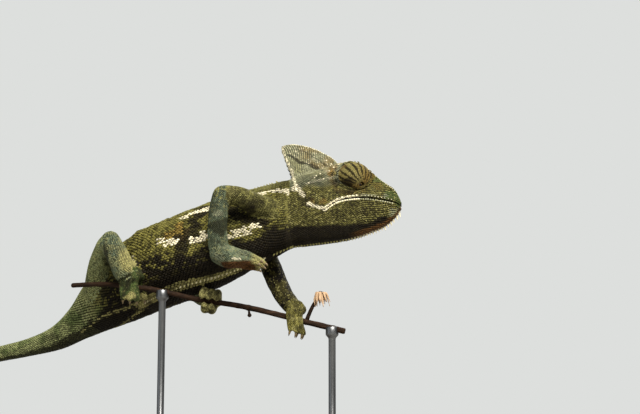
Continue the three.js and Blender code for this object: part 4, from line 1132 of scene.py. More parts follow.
def make_skin(sizes, hues):
    """One closed skin: all surfaces of trunk, head, casque, limbs and feet are joined by cells of the chosen
    size, eased, sunk under the solids by the skin's depth and moved along their normals by the relief."""
    whole = join_grids("skin_parts", [part[0] for part in surfaces()])
    step = whole.modifiers.new("join", "REMESH")
    step.mode, step.voxel_size = "VOXEL", sizes.voxel
    step = whole.modifiers.new("ease", "SMOOTH")
    step.factor, step.iterations = 0.5, 4
    mesh = bpy.data.meshes.new_from_object(whole.evaluated_get(bpy.context.evaluated_depsgraph_get()))
    bpy.data.objects.remove(whole)
    mesh.name = "skin"
    skin = shown("skin", mesh)
    points = read_points(mesh)
    place = Places(points)
    points = eased_joints(mesh, points, place)
    write_points(mesh, points)
    mesh.update()
    write_points(mesh, points + read_normals(mesh) * (relief(place) - sizes.sunk / MM)[:, None])
    mesh.shade_smooth()
    mesh.update()
    tint = markings(place, hues)
    # Bare skin dyed at about a third of the markings (casque 0.6): partly its own darker colour, partly painted shade
    # in the gaps between scales.
    dye(skin, np.where(place.region == CASQUEPIECE, 0.6, 0.34)[:, None] * tint / (1 + 3 * tint))
    normals, (a, b) = read_normals(mesh), edge_ends(mesh)
    bend, turn = np.ones(len(points)), dot(normals[a], normals[b])
    np.minimum.at(bend, a, turn)
    np.minimum.at(bend, b, turn)
    points = read_points(mesh)
    MEMORY.update(points=points, normals=normals, bend=bend, head=world_to_head(points))
    return skin


def on_skin(points):
    """Points moved onto the skin, which is taken as flat as far as SKIN_REACH from its closest corner, its
    normals there, and how far off the points were."""
    k = nearest(points, MEMORY["points"])
    corner, normal = MEMORY["points"][k], MEMORY["normals"][k]
    off = points - corner
    flat = off - normal * dot(off, normal)[:, None]
    flat *= np.minimum(1, SKIN_REACH / np.maximum(np.linalg.norm(flat, axis=1), 1e-9))[:, None]
    return corner + flat, normal, np.linalg.norm(off, axis=1)


def on_edge(points):
    """Whether the skin's closest corner is on a sharp edge: its normal and a neighbour's differ."""
    return MEMORY["bend"][nearest(points, MEMORY["points"])] < SHARP_BEND


def on_head(flat, side, reach=0.05):
    """Places on one side of the head seen square from that side: x and z in head coordinates are looked up
    among the skin's corners on that side, and y hardly counts."""
    x, z = flat.T
    head = MEMORY["head"]
    near = np.where((head[:, 1] * side > 0.2) & (head[:, 0] > -12) & (head[:, 2] > -24))[0]
    wanted = columns(x, np.full(len(flat), side * 9 * reach), z)
    k = near[nearest(wanted, head[near] * [1, reach, 1])]
    corner, normal = head[k], MEMORY["normals"][k] @ HEAD_AXES.T
    slope = dot(flat - corner[:, ::2], normal[:, ::2]) / np.maximum(np.abs(normal[:, 1]), 0.35) * -side
    return head_to_world(columns(x, corner[:, 1] + np.clip(slope, -0.6, 0.6), z)), MEMORY["normals"][k]


class ChameleonSkin(bpy.types.Operator):
    """One skin over trunk, head, casque, limbs and feet, with its folds and markings"""
    bl_idname = "chameleon.skin"
    bl_label = "Skin"

    def execute(self, context):
        scene = context.scene
        skin = make_skin(scene.chameleon_skin, scene.chameleon_hues)
        flesh = [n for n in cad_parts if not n.startswith(("eye", "perch", "stand"))]
        settle(skin, skin_finish(), "skin", *flesh)
        return {"FINISHED"}


# Scale fields: name, surface, least and greatest place along it, outline (corners, power) and height.
FIELDS = [
    ("face", HEADPIECE, 0, 1, 8, 1.6, 0.2),
    ("casque", CASQUEPIECE, 0, 1, 6, 2, 0.2),
    ("neck_and_flank", TRUNK, -1, 5.94, 10, 2.3, 0.3),
    ("tail", TRUNK, 5.9, 99, 6, 2, 0.2),
    ("limbs", LIMB, 0, 1, 6, 2, 0.2),
    ("feet", FOOT, 0, 1, 6, 2, 0.18),
]
# Length and half width of the scales off the trunk, and along it with the count of rows round the animal.
SCALE_SIZES = {HEADPIECE: (0.90, 0.46), CASQUEPIECE: (0.86, 0.46), LIMB: (0.86, 0.50), FOOT: (0.74, 0.44)}
TRUNK_SCALES = np.array([[0, 0.92, 160], [0.6, 1.05, 150], [1.5, 1.5, 124], [5, 1.5, 124], [5.9, 1.2, 124],
                         [7.5, 1, 100]])


def scale_sizes(kind, rings, s):
    """Length and half width of the scales on every ring: fixed, but on the trunk a share of the ring's arc."""
    if kind != TRUNK:
        return (np.full(len(rings), v) for v in SCALE_SIZES[kind])
    closed = np.concatenate([rings, rings[:, :1]], 1)
    arc = np.linalg.norm(np.diff(closed, axis=1), axis=2).sum(1)
    long, count = (np.interp(s, TRUNK_SCALES[:, 0], TRUNK_SCALES[:, k]) for k in (1, 2))
    return long, np.where(s < 5.95, arc / count, 0.62)


def carried_on(rings, long, wide, kind, index, low):
    """Rings and sizes with a ring CARRY beyond the neck's first or the head's last, so that their scales meet."""
    if kind == TRUNK and low < 0:
        extra = rings[:1] + CARRY * unit(rings[0] - rings[2])
        return (np.concatenate(pair) for pair in ((extra, rings), (long[:1], long), (wide[:1], wide)))
    if kind == HEADPIECE and index == 0:
        extra = rings[-1:] + CARRY * unit(rings[-1] - rings[-3])
        return (np.concatenate(pair) for pair in ((rings, extra), (long, long[-1:]), (wide, wide[-1:])))
    return rings, long, wide


# Ring beyond neck and head, farthest root from the skin, closest to a turret in its radii, place of a scale's
# ends against its length, and its half length and half width against their share of the rows.
CARRY, STRAY, LID_EDGE, TIP, LAP, SPREAD = 2.6, 2.2, 1.03, 0.45, 0.52, 0.6


class ChameleonScales(bpy.types.Operator):
    """Scales in staggered rows: large plates on the flank, a fine net on the head and feet"""
    bl_idname = "chameleon.scales"
    bl_label = "Scales"

    def execute(self, context):
        sizes, hues = context.scene.chameleon_skin, context.scene.chameleon_hues
        finish = scale_finish("chameleon_scales")
        for name, region, low, high, sides, power, tall in FIELDS:
            rng = np.random.default_rng(len(name))
            parts = []
            for rings, kind, index, s, _ in surfaces():
                if kind != region:
                    continue
                start = rings.shape[1] // 4 if kind == TRUNK else 0
                chosen = (s >= low) & (s <= high)
                long, wide = scale_sizes(kind, rings[chosen], s[chosen])
                rings, long, wide = carried_on(rings[chosen], long, wide, kind, index, low)
                spots = rows_of_scales(rings, long * sizes.grain, wide * sizes.grain, start, rng)
                root, up, moved = on_skin(spots[0])
                near = (moved < STRAY) & (socket_distance(root) > LID_EDGE)
                found = [column[near] for column in (root, unit(up), *spots[1:])]
                root, _, lie, long, _ = found
                ends = [Places(root + step * lie * long[:, None]) for step in (-TIP, 0, TIP)]
                keep = np.any([(own.region == kind) & (own.index == index) for own in ends], 0)
                parts.append([column[keep] for column in found])
            roots, up, lie, long, wide = (np.concatenate(column) for column in zip(*parts))
            place = Places(roots)
            tint = markings(place, hues, 1) * rng.uniform(0.62, 1.25, len(roots))[:, None]
            size = rng.uniform(0.92, 1.08, len(roots)) * np.where(on_edge(roots), 0.6, 1)
            height = tall * sizes.high / MM / 0.2 * rng.uniform(0.8, 1.2, len(roots))
            height = height * np.minimum(wide / 0.8, 1) ** 0.5
            right = (place.turn > 90) & (place.turn < 270) if region != LIMB else place.index < 3
            fields = (roots, up, lie, LAP * (long * size), SPREAD * (wide * size), height, tint, place.bake_map())
            for half, where in ((right, "right"), (~right, "left")):
                scales = domes(f"scales_{name}_{where}", *(column[half] for column in fields), sides, power)
                settle(scales, finish, "skin")
        return {"FINISHED"}


def beads_along(line, pitch, rng):
    """Even places along a chain of straight pieces, at the pitch varied by a tenth, as x and z."""
    long = np.concatenate([[0], np.cumsum(np.hypot(*np.diff(line, axis=0).T))])
    steps = np.cumsum(pitch * rng.uniform(0.9, 1.1, int(long[-1] / pitch)))
    steps = steps[steps < long[-1]]
    return columns(np.interp(steps, long, line[:, 0]), np.interp(steps, long, line[:, 1]))


# Single beads on the head: x, z and radius, white over the mouth, down the casque's rear and in front of it.
LIP_BEADS = np.array([[11.5, -7.5, 0.5], [12.6, -6.4, 0.5], [13.9, -5.5, 0.52], [15.2, -4.6, 0.5], [16.4, -3.7, 0.62],
                      [18.5, -2.9, 0.62], [20.7, -2.4, 0.5], [21.6, -2.2, 0.5], [23, -2, 0.5], [24.5, -1.8, 0.5]])
TUBERCLES = np.array([[11.3, 16.4, 0.42], [13.3, 14.8, 0.42], [14.8, 11.1, 0.4], [9.2, 8.1, 0.42], [13, 9.3, 0.36],
                      [7.5, 7.1, 0.42], [6.8, 6.3, 0.36], [4.4, 3.7, 0.36], [10.6, 5.5, 0.36]])
# Beads down the casque's rear edge: z and radius.
REAR_BEADS = np.array([[21.6, 0.4], [20.2, 0.36], [18.6, 0.42], [17, 0.4], [15.6, 0.6], [14, 0.4], [12.4, 0.58],
                       [11.2, 0.38], [10.1, 0.56], [8.75, 0.5], [6.8, 0.42], [4.8, 0.55], [3.1, 0.48]])


class BeadSizes(bpy.types.PropertyGroup):
    """Sizes of the larger scales in rows on the head."""
    lip: length_property("Lip scales", "Half length of the scales along the lips", 0.56)
    brow: length_property("Brow scales", "Radius of the beads over the eyes and down the snout", 0.4)
    edge: length_property("Casque edge scales", "Radius of the beads on the casque's edge", 0.42)


class ChameleonBeads(bpy.types.Operator):
    """Larger scales of the head: lips, brow and snout ridge, casque's edges and tubercles"""
    bl_idname = "chameleon.beads"
    bl_label = "Head beads"

    def execute(self, context):
        sizes, hues = context.scene.chameleon_beads, context.scene.chameleon_hues
        rng = np.random.default_rng(5)
        lip, brow, edge = sizes.lip / MM, sizes.brow / MM, sizes.edge / MM
        beads = []

        def put(root, up, r, narrow, share):
            stone = np.tile(hues.stone, (len(root), 1))
            beads.append((root, up, r, np.full(len(root), narrow), mixed(stone, hues.cream, share)))

        def vary(root, up, r, low, narrow, pale):
            put(root, up, r * rng.uniform(low, 1.1, len(root)), narrow, rng.uniform(*pale, len(root)))

        for side in (1, -1):
            for flat, r, narrow, near, far in (
                    (beads_along(MOUTH[2:7] + [0, 0.85], 1.35, rng), 0.8 * lip, 0.8, 0.75, 0.5),
                    (beads_along(MOUTH[2:12] - [0, 0.7], 1.0, rng), 1.1 * lip, 0.85, 1.1, 0.15),
                    (beads_along(CANTHUS, 0.86, rng), brow, 0.95, 0.8, 0.75)):
                x, count = flat[:, 0], len(flat)
                share = np.where(x < 26, near, far) + rng.uniform(-0.2, 0.1, count)
                r = r * rng.uniform(0.85, 1.1, count) * np.where(x > 26, 0.8, 1)
                put(*on_head(flat, side), r, narrow, share)
            rear = np.interp(REAR_BEADS[:, 0], CASQUE_REAR[:, 1], CASQUE_REAR[:, 0]) + 0.95
            for flat in (LIP_BEADS, TUBERCLES, columns(rear, REAR_BEADS)):
                vary(*on_head(flat[:, :2], side), flat[:, 2], 0.9, 0.95, (0.75, 1))
            rim = along(ORBIT, np.arange(0.05, len(ORBIT) - 1, 0.235))
            top = head_to_world((rim[:, :3] + [0, 0.35, 0.9] * rim[:, 3:]) * [1, side, 1])
            vary(*on_skin(top)[:2], brow, 0.8, 0.9, (0.3, 0.9))
        flat = beads_along(CASQUE_EDGE, 0.9, rng)
        for side in (1, -1):
            point = head_to_world(columns(flat[:, 0], np.full(len(flat), side * 0.42), flat[:, 1] - 0.2))
            vary(*on_skin(point)[:2], edge, 0.75, 1, (0.45, 1))
        roots, up, size, slim, tint = (np.concatenate(column) for column in zip(*beads))
        lie = np.broadcast_to(-FORWARD, roots.shape)
        whole = domes("head_beads", roots, unit(up), lie, size, size * slim, size * 0.58, tint,
                      Places(roots).bake_map(), sides=8, sink=0.2, crown=0.72)
        settle(whole, scale_finish("chameleon_beads", 0.36, 0.2), "skin")
        return {"FINISHED"}


# ---- crests and claws
def cones(name, roots, ways, high, wide, lean, tint, sides=9, sink=0.5):
    """Crest cones in one mesh: rings at rising heights whose radius falls as 1 less the height's 1.3rd power,
    bent along the lean by the square of the height, from a foot sunk in the skin to a point."""
    level = np.array([-1.0, 0.0, 0.3, 0.6, 0.85])
    rings, high = len(level), high[:, None]
    ways = unit(ways)
    lean = unit(lean - ways * dot(lean, ways)[:, None])
    height = np.where(level < 0, -sink, level * high)
    r = wide[:, None] * np.where(level < 0, 1.05, 1 - np.clip(level, 0, 1) ** 1.3)
    bow = 0.22 * high * np.clip(level, 0, 1) ** 2
    centre = roots[:, None] + ways[:, None] * height[..., None] + lean[:, None] * bow[..., None]
    ring = spokes(lean, np.cross(ways, lean), turns(sides))[:, None] * r[..., None, None]
    tip = roots + ways * high + lean * (0.22 * high)
    body = np.concatenate([(centre[:, :, None] + ring).reshape(len(roots), -1, 3), tip[:, None]], 1)
    i = np.arange(sides)
    last = (rings - 1) * sides
    tops = columns(last + i, last + (i + 1) % sides, np.full(sides, rings * sides))
    # Shade factors: painted shade at the foot of each cone, painted highlight toward its tip.
    shade = np.repeat([0.5, 0.6, 0.9, 1.05, 1.1, 1.15], [sides] * rings + [1])
    return studs(name, body, (grid_faces(rings, sides), tops, i[None, ::-1]), shade, tint)


class CrestSizes(bpy.types.PropertyGroup):
    """Sizes of the crests and claws."""
    gular: length_property("Throat cone", "Height of the longest cone, at the chin", 1.95)
    gular_pitch: length_property("Throat pitch", "Distance between the throat's cones", 1.25)
    ventral: length_property("Belly cone", "Height of the belly's cones", 1.1)
    dorsal: length_property("Back cone", "Height of the back's cones", 1.2)
    claw: length_property("Claw", "Radius of a claw's root", 0.62)


def crest_places(start, stop, pitch, rng):
    """Places along the spine table whose distance is the pitch, varied by a tenth."""
    t = np.linspace(start, stop, 900)
    way = walked(station(t)[0])
    steps = np.cumsum(pitch * rng.uniform(0.9, 1.1, int(way[-1] / pitch) + 1))
    return np.interp(steps[steps < way[-1]], way, t)


class ChameleonCrests(bpy.types.Operator):
    """Cones of the throat, belly and back"""
    bl_idname = "chameleon.crests"
    bl_label = "Crests"

    def execute(self, context):
        sizes, hues = context.scene.chameleon_crests, context.scene.chameleon_hues
        rng = np.random.default_rng(8)
        finish = scale_finish("chameleon_cones", 0.4, 0.25)
        c = palette(hues)

        x = np.arange(42.2, -3.5, -sizes.gular_pitch / MM)
        x = x + rng.uniform(-0.1, 0.1, len(x))
        keel = np.interp(x, HEAD[::-1, 0], HEAD[::-1, 12])
        high = (1.1 + (sizes.gular / MM - 1.1) * np.clip((x + 4) / 46, 0, 1) ** 2) * rng.uniform(0.85, 1.15, len(x))
        roots = head_to_world(columns(x, 0 * x, keel + 0.35))
        down, fore = (np.broadcast_to(way, roots.shape) for way in (-HEAD_AXES[2] + 0.12 * FORWARD, FORWARD))
        tint = mixed(np.tile(c["straw"], (len(x), 1)), c["cream"], smooth((x - 14) / 16))
        throat = cones("crest_throat_head", roots, down, high, np.full(len(x), 0.56), fore, tint)
        settle(throat, finish, "skin")

        for name, start, stop, side, height, pitch, root_r, colour, other in (
                ("crest_throat_neck", 0.2, 1.5, -1, 1.1, 1.3, 0.55, "straw", "moss"),
                ("crest_belly", 1.6, 5.6, -1, sizes.ventral / MM, 1.75, 0.66, "straw", "cream"),
                ("crest_back", 0.08, 6.7, 1, sizes.dorsal / MM, 1.6, 0.55, "moss", "straw")):
            t = crest_places(start, stop, pitch, rng)
            centre, ahead, _, top, size = station(t)
            reach = size[:, 0] if side > 0 else -size[:, 1]
            fade = np.clip(1.15 - 0.5 * t / 6.7, 0.4, 1)
            tint = mixed(np.tile(c[colour], (len(t), 1)), c[other], rng.uniform(0, 0.7, len(t)))
            spikes = cones(name, centre + top * (reach - 0.3 * side)[:, None], top * side - 0.25 * ahead,
                           height * fade * rng.uniform(0.85, 1.15, len(t)) + 0.1, np.full(len(t), root_r) * fade,
                           -ahead, tint)
            settle(spikes, finish, "skin")
        return {"FINISHED"}


def claw_finish():
    """Horn: brown mottled with paler tan in faint streaks, polished."""
    f = Finish("claw_horn", IOR=1.5)
    grain = f.clouds(2600, 3, stretch=(1, 1, 3))
    f.feed("Base Color", f.ramp(grain, (0.3, 0x3A2C1A), (0.6, 0x7A6844), (0.85, 0xB8A87C)))
    f.feed("Roughness", 0.28 + grain * 0.2)
    return f.bump(grain, 0.25, 0.00005)


class ChameleonClaws(bpy.types.Operator):
    """A curved claw on every toe"""
    bl_idname = "chameleon.claws"
    bl_label = "Claws"

    def execute(self, context):
        r = context.scene.chameleon_crests.claw / MM
        for name in FOOT_NAMES:
            rows = hand_claws() if name == "hand_r" else foot_tubes(FEET[name])[1]
            grids = [tube_rings([[*a, r], [*b, r * 0.72], [*c, 0.1]], 14, 12) for a, b, c in rows]
            settle(join_grids("claws_" + name, grids), claw_finish(), "skin")
        return {"FINISHED"}


# ---- eyes
class EyeSizes(bpy.types.PropertyGroup):
    """Sizes of the eye turrets and eyeballs."""
    turret: length_property("Turret", "Radius of the turret under its lid cone", 6.4)
    cone: length_property("Lid cone", "How far the lid stands out round the opening", 1.05)
    granule: length_property("Lid granules", "Distance between the lid's granules", 0.62)
    ball: length_property("Eyeball", "Radius of the eyeball", 1.5)
    out: length_property("Eyeball place", "Distance of the eyeball's middle from the turret's", 5.7)


def look_frame(side):
    """Middle of a turret and three directions: its look, and two square to it."""
    centre = head_to_world(EYE * [1, side, 1])
    look = unit((EYE_LOOK * [1, side, 1]) @ HEAD_AXES)
    across = unit(np.cross(look, UP))
    return centre, look, across, np.cross(across, look)


def polar(axes, theta, r, sides):
    """Rings about the look at angles theta from it, in degrees, and at distances r."""
    centre, look, across, up = axes
    theta = np.radians(theta)[:, None, None]
    return centre + (look * np.cos(theta) + spokes(across, up, turns(sides)) * np.sin(theta)) * r[:, None, None]


def stretched(points, side):
    """Points of a turret stretched about its middle by TURRET_SHAPE and moved by TURRET_SHIFT."""
    middle = EYE * [1, side, 1]
    return head_to_world((world_to_head(points) - middle) * TURRET_SHAPE + middle + TURRET_SHIFT)


def turret_radius(theta, sizes):
    """Radius of the turret at an angle from its look: the ball's, plus a cone that eases out between 12 and 44
    degrees, with fine ripples round the opening."""
    cone = sizes.cone / MM * (1 - smooth((theta - 12) / 32))
    return sizes.turret / MM + cone + 0.06 * np.cos(theta * 1.6) * np.exp(-((theta - 15) / 14) ** 2)


def turret_colours(points, theta, turn, hues, rng):
    """Lid colours: gold and dark brown rays of uneven width from the opening, olive over the top, brown at the
    back of the lower side (partly painted shade), with the grain of single granules."""
    a, (x, _, z) = np.radians(turn), world_to_head(points).T
    coat = Coat(palette(hues), "ochre", len(theta))
    coat.lay("straw", 0.40 + 0.25 * np.sin(2 * a))
    coat.lay("moss", 0.35 * smooth((theta - 40) / 30))
    rays = np.cos(15 * a + 1.6 * np.sin(a) + 0.9 * np.sin(3 * a + 1) + 0.012 * (theta - 40))
    drawn = smooth((theta - 11) / 12) * smooth((135 - theta) / 40)
    coat.lay("umber", 0.9 * drawn * smooth((rays + 0.15 * rng.uniform(-1, 1, len(theta)) - 0.05) * 1.8))
    coat.lay("rust", 0.55 * smooth(1.4 - np.hypot((x - 17.5) / 2.2, (z - 11.5) / 2.0)))
    # Lower back of each turret: partly the lid's own brown, partly painted shade under the turret's bulge.
    coat.lay("umber", 0.85 * smooth((5.6 + 0.12 * (x - 19) - z) / 1.2) * smooth((23.5 - x) / 2.5))
    coat.lay("umber", 0.4 * rng.random(len(theta)) ** 2)
    return coat.out


def eye_finish():
    """Wet eyeball: the colours of pupil and iris with fine spokes, under a clear coat."""
    f = Finish("eyeball_wet", 0.2, IOR=1.35, Specular_IOR_Level=0.2, Coat_Weight=0.3, Coat_Roughness=0.03)
    spokes = f.clouds(5200, 3)
    f.feed("Base Color", f.mix((spokes * 2 - 0.8).clamp() * 0.4, f.tint(), (0.02, 0.012, 0.006)))
    return f.bump(spokes, 0.05, 0.00003)


LID_THETA = np.concatenate([[1, 6, 9.3, 9.0, 9.3, 10.2], np.linspace(11.5, 60, 50), np.linspace(63, 179, 34)])
LID_MOUTH = [6.0, 6.0, 6.1, 6.9, 7.2]
LID_SIDES, BALL_SIDES = 96, 64
GRANULES_AT = 7.0
PUPIL = np.array([0.004, 0.0035, 0.003])


def make_turret(side, name, axes, sizes, hues, rng):
    """Lids of one turret: rings at LID_THETA from the look, the first at LID_MOUTH for the opening's floor and
    lip, with painted shade inside."""
    r = turret_radius(LID_THETA, sizes)
    r[:5] = LID_MOUTH
    rings = polar(axes, LID_THETA, r, LID_SIDES)
    points = rings.reshape(-1, 3)
    turret = join_grids("eye_turret_skin_" + name, [stretched(points, side).reshape(rings.shape)])
    theta = np.repeat(LID_THETA, LID_SIDES)
    turn = np.tile(np.arange(LID_SIDES) * 360 / LID_SIDES, len(LID_THETA))
    # Painted shade inside the opening: its floor and lip near black; the rest of the lid at 0.6 of its colours.
    dye(turret, turret_colours(points, theta, turn, hues, rng) * np.where(theta < 9.6, 0.12, 0.6)[:, None])
    settle(turret, skin_finish(), "skin", "eye_turret_" + name)


def make_granules(side, name, axes, sizes, hues, rng, finish):
    """Granules in rings round the opening, smaller and tilted at the lip, none on the side inside the head."""
    spots, pitch = [], sizes.granule / MM
    for ring in np.arange(10.6, 165, np.degrees(pitch / GRANULES_AT) * 0.88):
        count = max(8, int(2 * np.pi * np.sin(np.radians(ring)) * GRANULES_AT / pitch))
        spots.append(np.column_stack([np.full(count, ring) + rng.uniform(-0.6, 0.6, count),
                                      (np.arange(count) + rng.random()) * 360 / count]))
    ring, turn = np.vstack(spots).T
    centre, look, across, up = axes
    a, b = np.radians(turn)[:, None], np.radians(ring)[:, None]
    out = across * np.cos(a) + up * np.sin(a)
    ray = look * np.cos(b) + out * np.sin(b)
    roots = centre + ray * turret_radius(ring, sizes)[:, None]
    tilt = unit(ray + 0.5 * (look * np.sin(b) - out * np.cos(b)) * (smooth((44 - ring) / 30))[:, None] * 0.4)
    wide = pitch * rng.uniform(0.44, 0.56, len(ring)) * np.where(ring < 13, 0.8, 1)
    tint = turret_colours(roots, ring, turn, hues, rng)
    tint *= rng.uniform(0.8, 1.2, len(ring))[:, None]
    seen = world_to_head(roots)[:, 1] * side > 3.2
    roots, tilt, lie, wide, tint = (column[seen] for column in (
        stretched(roots, side), tilt, np.cross(ray, out + look), wide, tint))
    settle(domes("lid_granules_" + name, roots, tilt, lie, wide, wide * 0.95, wide * 0.5, tint,
                 Places(roots).bake_map()), finish, "skin")


def make_eyeball(name, axes, sizes, hues, finish):
    """Eyeball in the opening: a ball with a dark pupil, a gold ring round it, and brown beyond."""
    centre, look = axes[0] + axes[1] * sizes.out / MM, axes[1]
    theta = np.concatenate([[1], np.linspace(4, 176, 60), [179]])
    r = np.full(len(theta), sizes.ball / MM)
    eye = join_grids("eyeball_wet_" + name,
                     [polar((centre, look, *axes[2:]), theta, r, BALL_SIDES) + TURRET_SHIFT @ HEAD_AXES])
    theta = np.repeat(theta, BALL_SIDES)
    tint = mixed(np.tile(PUPIL, (len(theta), 1)), hues.ochre, 0.95 * np.exp(-((theta - 30) / 5.5) ** 2))
    dye(eye, mixed(tint, hues.umber, smooth((theta - 36) / 8)))
    settle(eye, finish, "eye", "eyeball_" + name)


class ChameleonEyes(bpy.types.Operator):
    """Cone-shaped turrets with granular lids and a small eyeball in the opening of each"""
    bl_idname = "chameleon.eyes"
    bl_label = "Eyes"

    def execute(self, context):
        sizes, hues = context.scene.chameleon_eyes, context.scene.chameleon_hues
        rng = np.random.default_rng(4)
        lids, wet = scale_finish("chameleon_lids", 0.5, 0.3), eye_finish()
        for side, name in ((1, "l"), (-1, "r")):
            axes = look_frame(side)
            make_turret(side, name, axes, sizes, hues, rng)
            make_granules(side, name, axes, sizes, hues, rng, lids)
            make_eyeball(name, axes, sizes, hues, wet)
        return {"FINISHED"}


# ---- twig
class TwigSizes(bpy.types.PropertyGroup):
    """Sizes and colours of the twig."""
    ridge: length_property("Bark ridge", "How far the bark's ridges stand out", 0.07)
    bud_place: FloatProperty(name="Bud place", description="Where the bud hangs along the body",
                             subtype="DISTANCE", unit="LENGTH", default=15.6 * MM)
    bark: colour_property("Bark", "Main colour of the twig", 0x281A10)
    bark_dark: colour_property("Dark bark", "Cracks and rings", 0x110B07)
    bract: colour_property("Bract", "Dry bracts of the flower", 0xB89470)


# Bud: x, y, z from the twig's middle and radius. Leaf scars: places along X. Spur and flower: place on the twig,
# head's offset, count of bracts, and their spread and drop.
BUD = [[0, 0, 0, 0.55], [0.4, -0.3, -2.2, 0.5], [0.6, -0.4, -3.2, 0.92]]
LEAF_SCARS = (-47.5, -24, -2.8, 15.6, 39.2, 50.5)
FLOWER = dict(x=39.2, head=[6.4, 0.4, 11.4], bracts=9, spread=3.9, drop=5.6)


def twig_tube(ridge, steps=420, sides=36):
    """Twig: rings square to its curve with the table's radius, plus ridges along it, rings at the leaf scars
    and slow swellings, with flat cuts at both ends."""
    row = along(TWIG, np.linspace(0, len(TWIG) - 1, steps))
    centre, run = row[:, :3], unit(np.gradient(row[:, :3], axis=0))
    a, x = turns(sides), centre[:, 0]
    scars = sum(0.16 * np.exp(-((x - s) / 0.55) ** 2) for s in LEAF_SCARS)
    grain = noise(np.column_stack([np.repeat(x * 0.22, sides), np.tile(np.cos(a) * 1.7, steps),
                                   np.tile(np.sin(a) * 1.7, steps)]), 0.42, 31).reshape(steps, sides)
    r = (row[:, 3] + scars - 0.02)[:, None] + ridge * (grain * 1.0 + 0.4 * np.sin(7 * a + 0.05 * x[:, None]))
    r[[0, -1]] *= 0.86
    return centre[:, None] + spokes(*square_pair(run), a) * r[..., None]


def bract_rings(root, bow, tip, wide):
    """One bract: flat oval rings carried along a curve from root over the bow to the tip, widest past half
    way, rolled in at the edges by a share of the width."""
    u = np.linspace(0, 1, 14)
    rows = along(np.array([root, bow, tip]), 2 * u)
    run = unit(np.gradient(rows, axis=0))
    flat = unit(np.cross(run, UP))
    w = wide * (0.35 + 0.65 * np.sin(np.pi * np.clip(u * 0.9 + 0.05, 0, 1))) * np.where(u > 0.92, 0.4, 1)
    side = np.cos(turns(12)) * w[:, None]
    rise = 0.11 * np.sin(turns(12)) - 0.5 * side ** 2 / wide
    return rows[:, None] + flat[:, None] * side[..., None] + np.cross(flat, run)[:, None] * rise[..., None]


def twig_finish(hues):
    """Bark: brown with dark cracks along the twig and grey bloom, rough all over."""
    f = Finish("bark", 0.75, Specular_IOR_Level=0.12)
    long = f.clouds(900, 5, 0.6, stretch=(0.12, 1, 1))
    fine, bloom = f.clouds(3800, 3), f.clouds(160, 3)
    bark = f.ramp(long, (0.3, hues.bark_dark), (0.52, hues.bark), (0.78, 0x4A3524))
    f.feed("Base Color", f.mix((bloom * 1.8 - 0.65).clamp() * 0.45, f.mix(1.0, bark, f.tint(), "MULTIPLY"), 0x382A20))
    f.feed("Roughness", 0.62 + fine * 0.3)
    return f.bump(long * 0.7 + fine * 0.3, 0.8, 0.00022)


def bract_finish(hues):
    """Dry bracts: pale tan with darker veins, thin and dull."""
    f = Finish("dry_bract", 0.7)
    veins, soft = f.clouds(2400, 4, stretch=(1, 1, 0.2)), f.clouds(700, 3)
    f.feed("Base Color", f.mix(soft * 0.5, f.ramp(veins, (0.35, 0x8A6A4E), (0.6, hues.bract)), 0xD8BC98))
    f.feed("Roughness", 0.55 + veins * 0.3)
    return f.bump(veins, 0.6, 0.00012)


class ChameleonTwig(bpy.types.Operator):
    """The gripped twig with its bark, leaf scars, bud, spur and drooping dry flower"""
    bl_idname = "chameleon.twig"
    bl_label = "Twig"

    def execute(self, context):
        sizes = context.scene.chameleon_twig
        rng = np.random.default_rng(20)
        twig_rings = twig_tube(sizes.ridge / MM)
        root = twig_frame(FLOWER["x"])[0]
        head = root + FLOWER["head"]
        knee = (root + head) / 2 + [-0.4, 0, 0.4]
        spur = tube_rings([[*root, 0.9], [*knee, 0.78], [*head, 0.8]], 30, 18)
        top = twig_frame(sizes.bud_place / MM)[0]
        bud = tube_rings([[*(top + off), r] for *off, r in BUD], 22, 18)
        knob = tube_rings([[*(head - [0.2, 0, 0.5]), 1.1], [*(head + [0, 0, 0.1]), 1.25]], 8, 20)
        grids = [twig_rings, spur, bud, knob]
        twig = join_grids("twig_bark", grids)
        shade = [np.full(grid.shape[:2], pale) for grid, pale in zip(grids, (1.0, 0.55, 0.75, 0.4))]
        shade[0][[0, -1]] = 1.7
        dye(twig, np.concatenate([pale.ravel() for pale in shade])[:, None] * np.array([1.0, 0.97, 0.93]))
        settle(twig, twig_finish(sizes), "twig", "perch_twig")

        bracts = []
        for k in range(FLOWER["bracts"] * 2):
            a = np.pi * (k + 0.5 * rng.random()) / FLOWER["bracts"]
            side = np.array([np.cos(a), np.sin(a), 0])
            inner = 0.72 if k % 2 else 1.0
            bow = head + side * (0.62 * FLOWER["spread"] * inner) + [0.3, 0, 0.5 - 0.5 * (k % 2)]
            tip = head + side * FLOWER["spread"] * inner * rng.uniform(0.7, 1.1)
            tip = tip + [0.8, 0, -FLOWER["drop"] * rng.uniform(0.55, 1.05)]
            bracts.append(bract_rings(head + [0, 0, 0.5], bow, tip, rng.uniform(0.6, 0.95)))
        flower = join_grids("dry_flower", bracts)
        settle(flower, bract_finish(sizes), "twig")
        return {"FINISHED"}


# ---- stand
class StandSizes(bpy.types.PropertyGroup):
    """Sizes and colours of the display stand."""
    bevel: length_property("Edge", "Rounding of the base's edge", 0.8)
    wood: colour_property("Wood", "Stained wood of the base", 0x3A2A1E)
    metal: colour_property("Metal", "Satin rods", 0x6E7072)


BASE = dict(long=150.0, wide=80.0, thick=8.0, corner=12.0)
ROD_PLACES = {"rear": -19.0, "front": 50.0}
ROD_GAP = 0.3


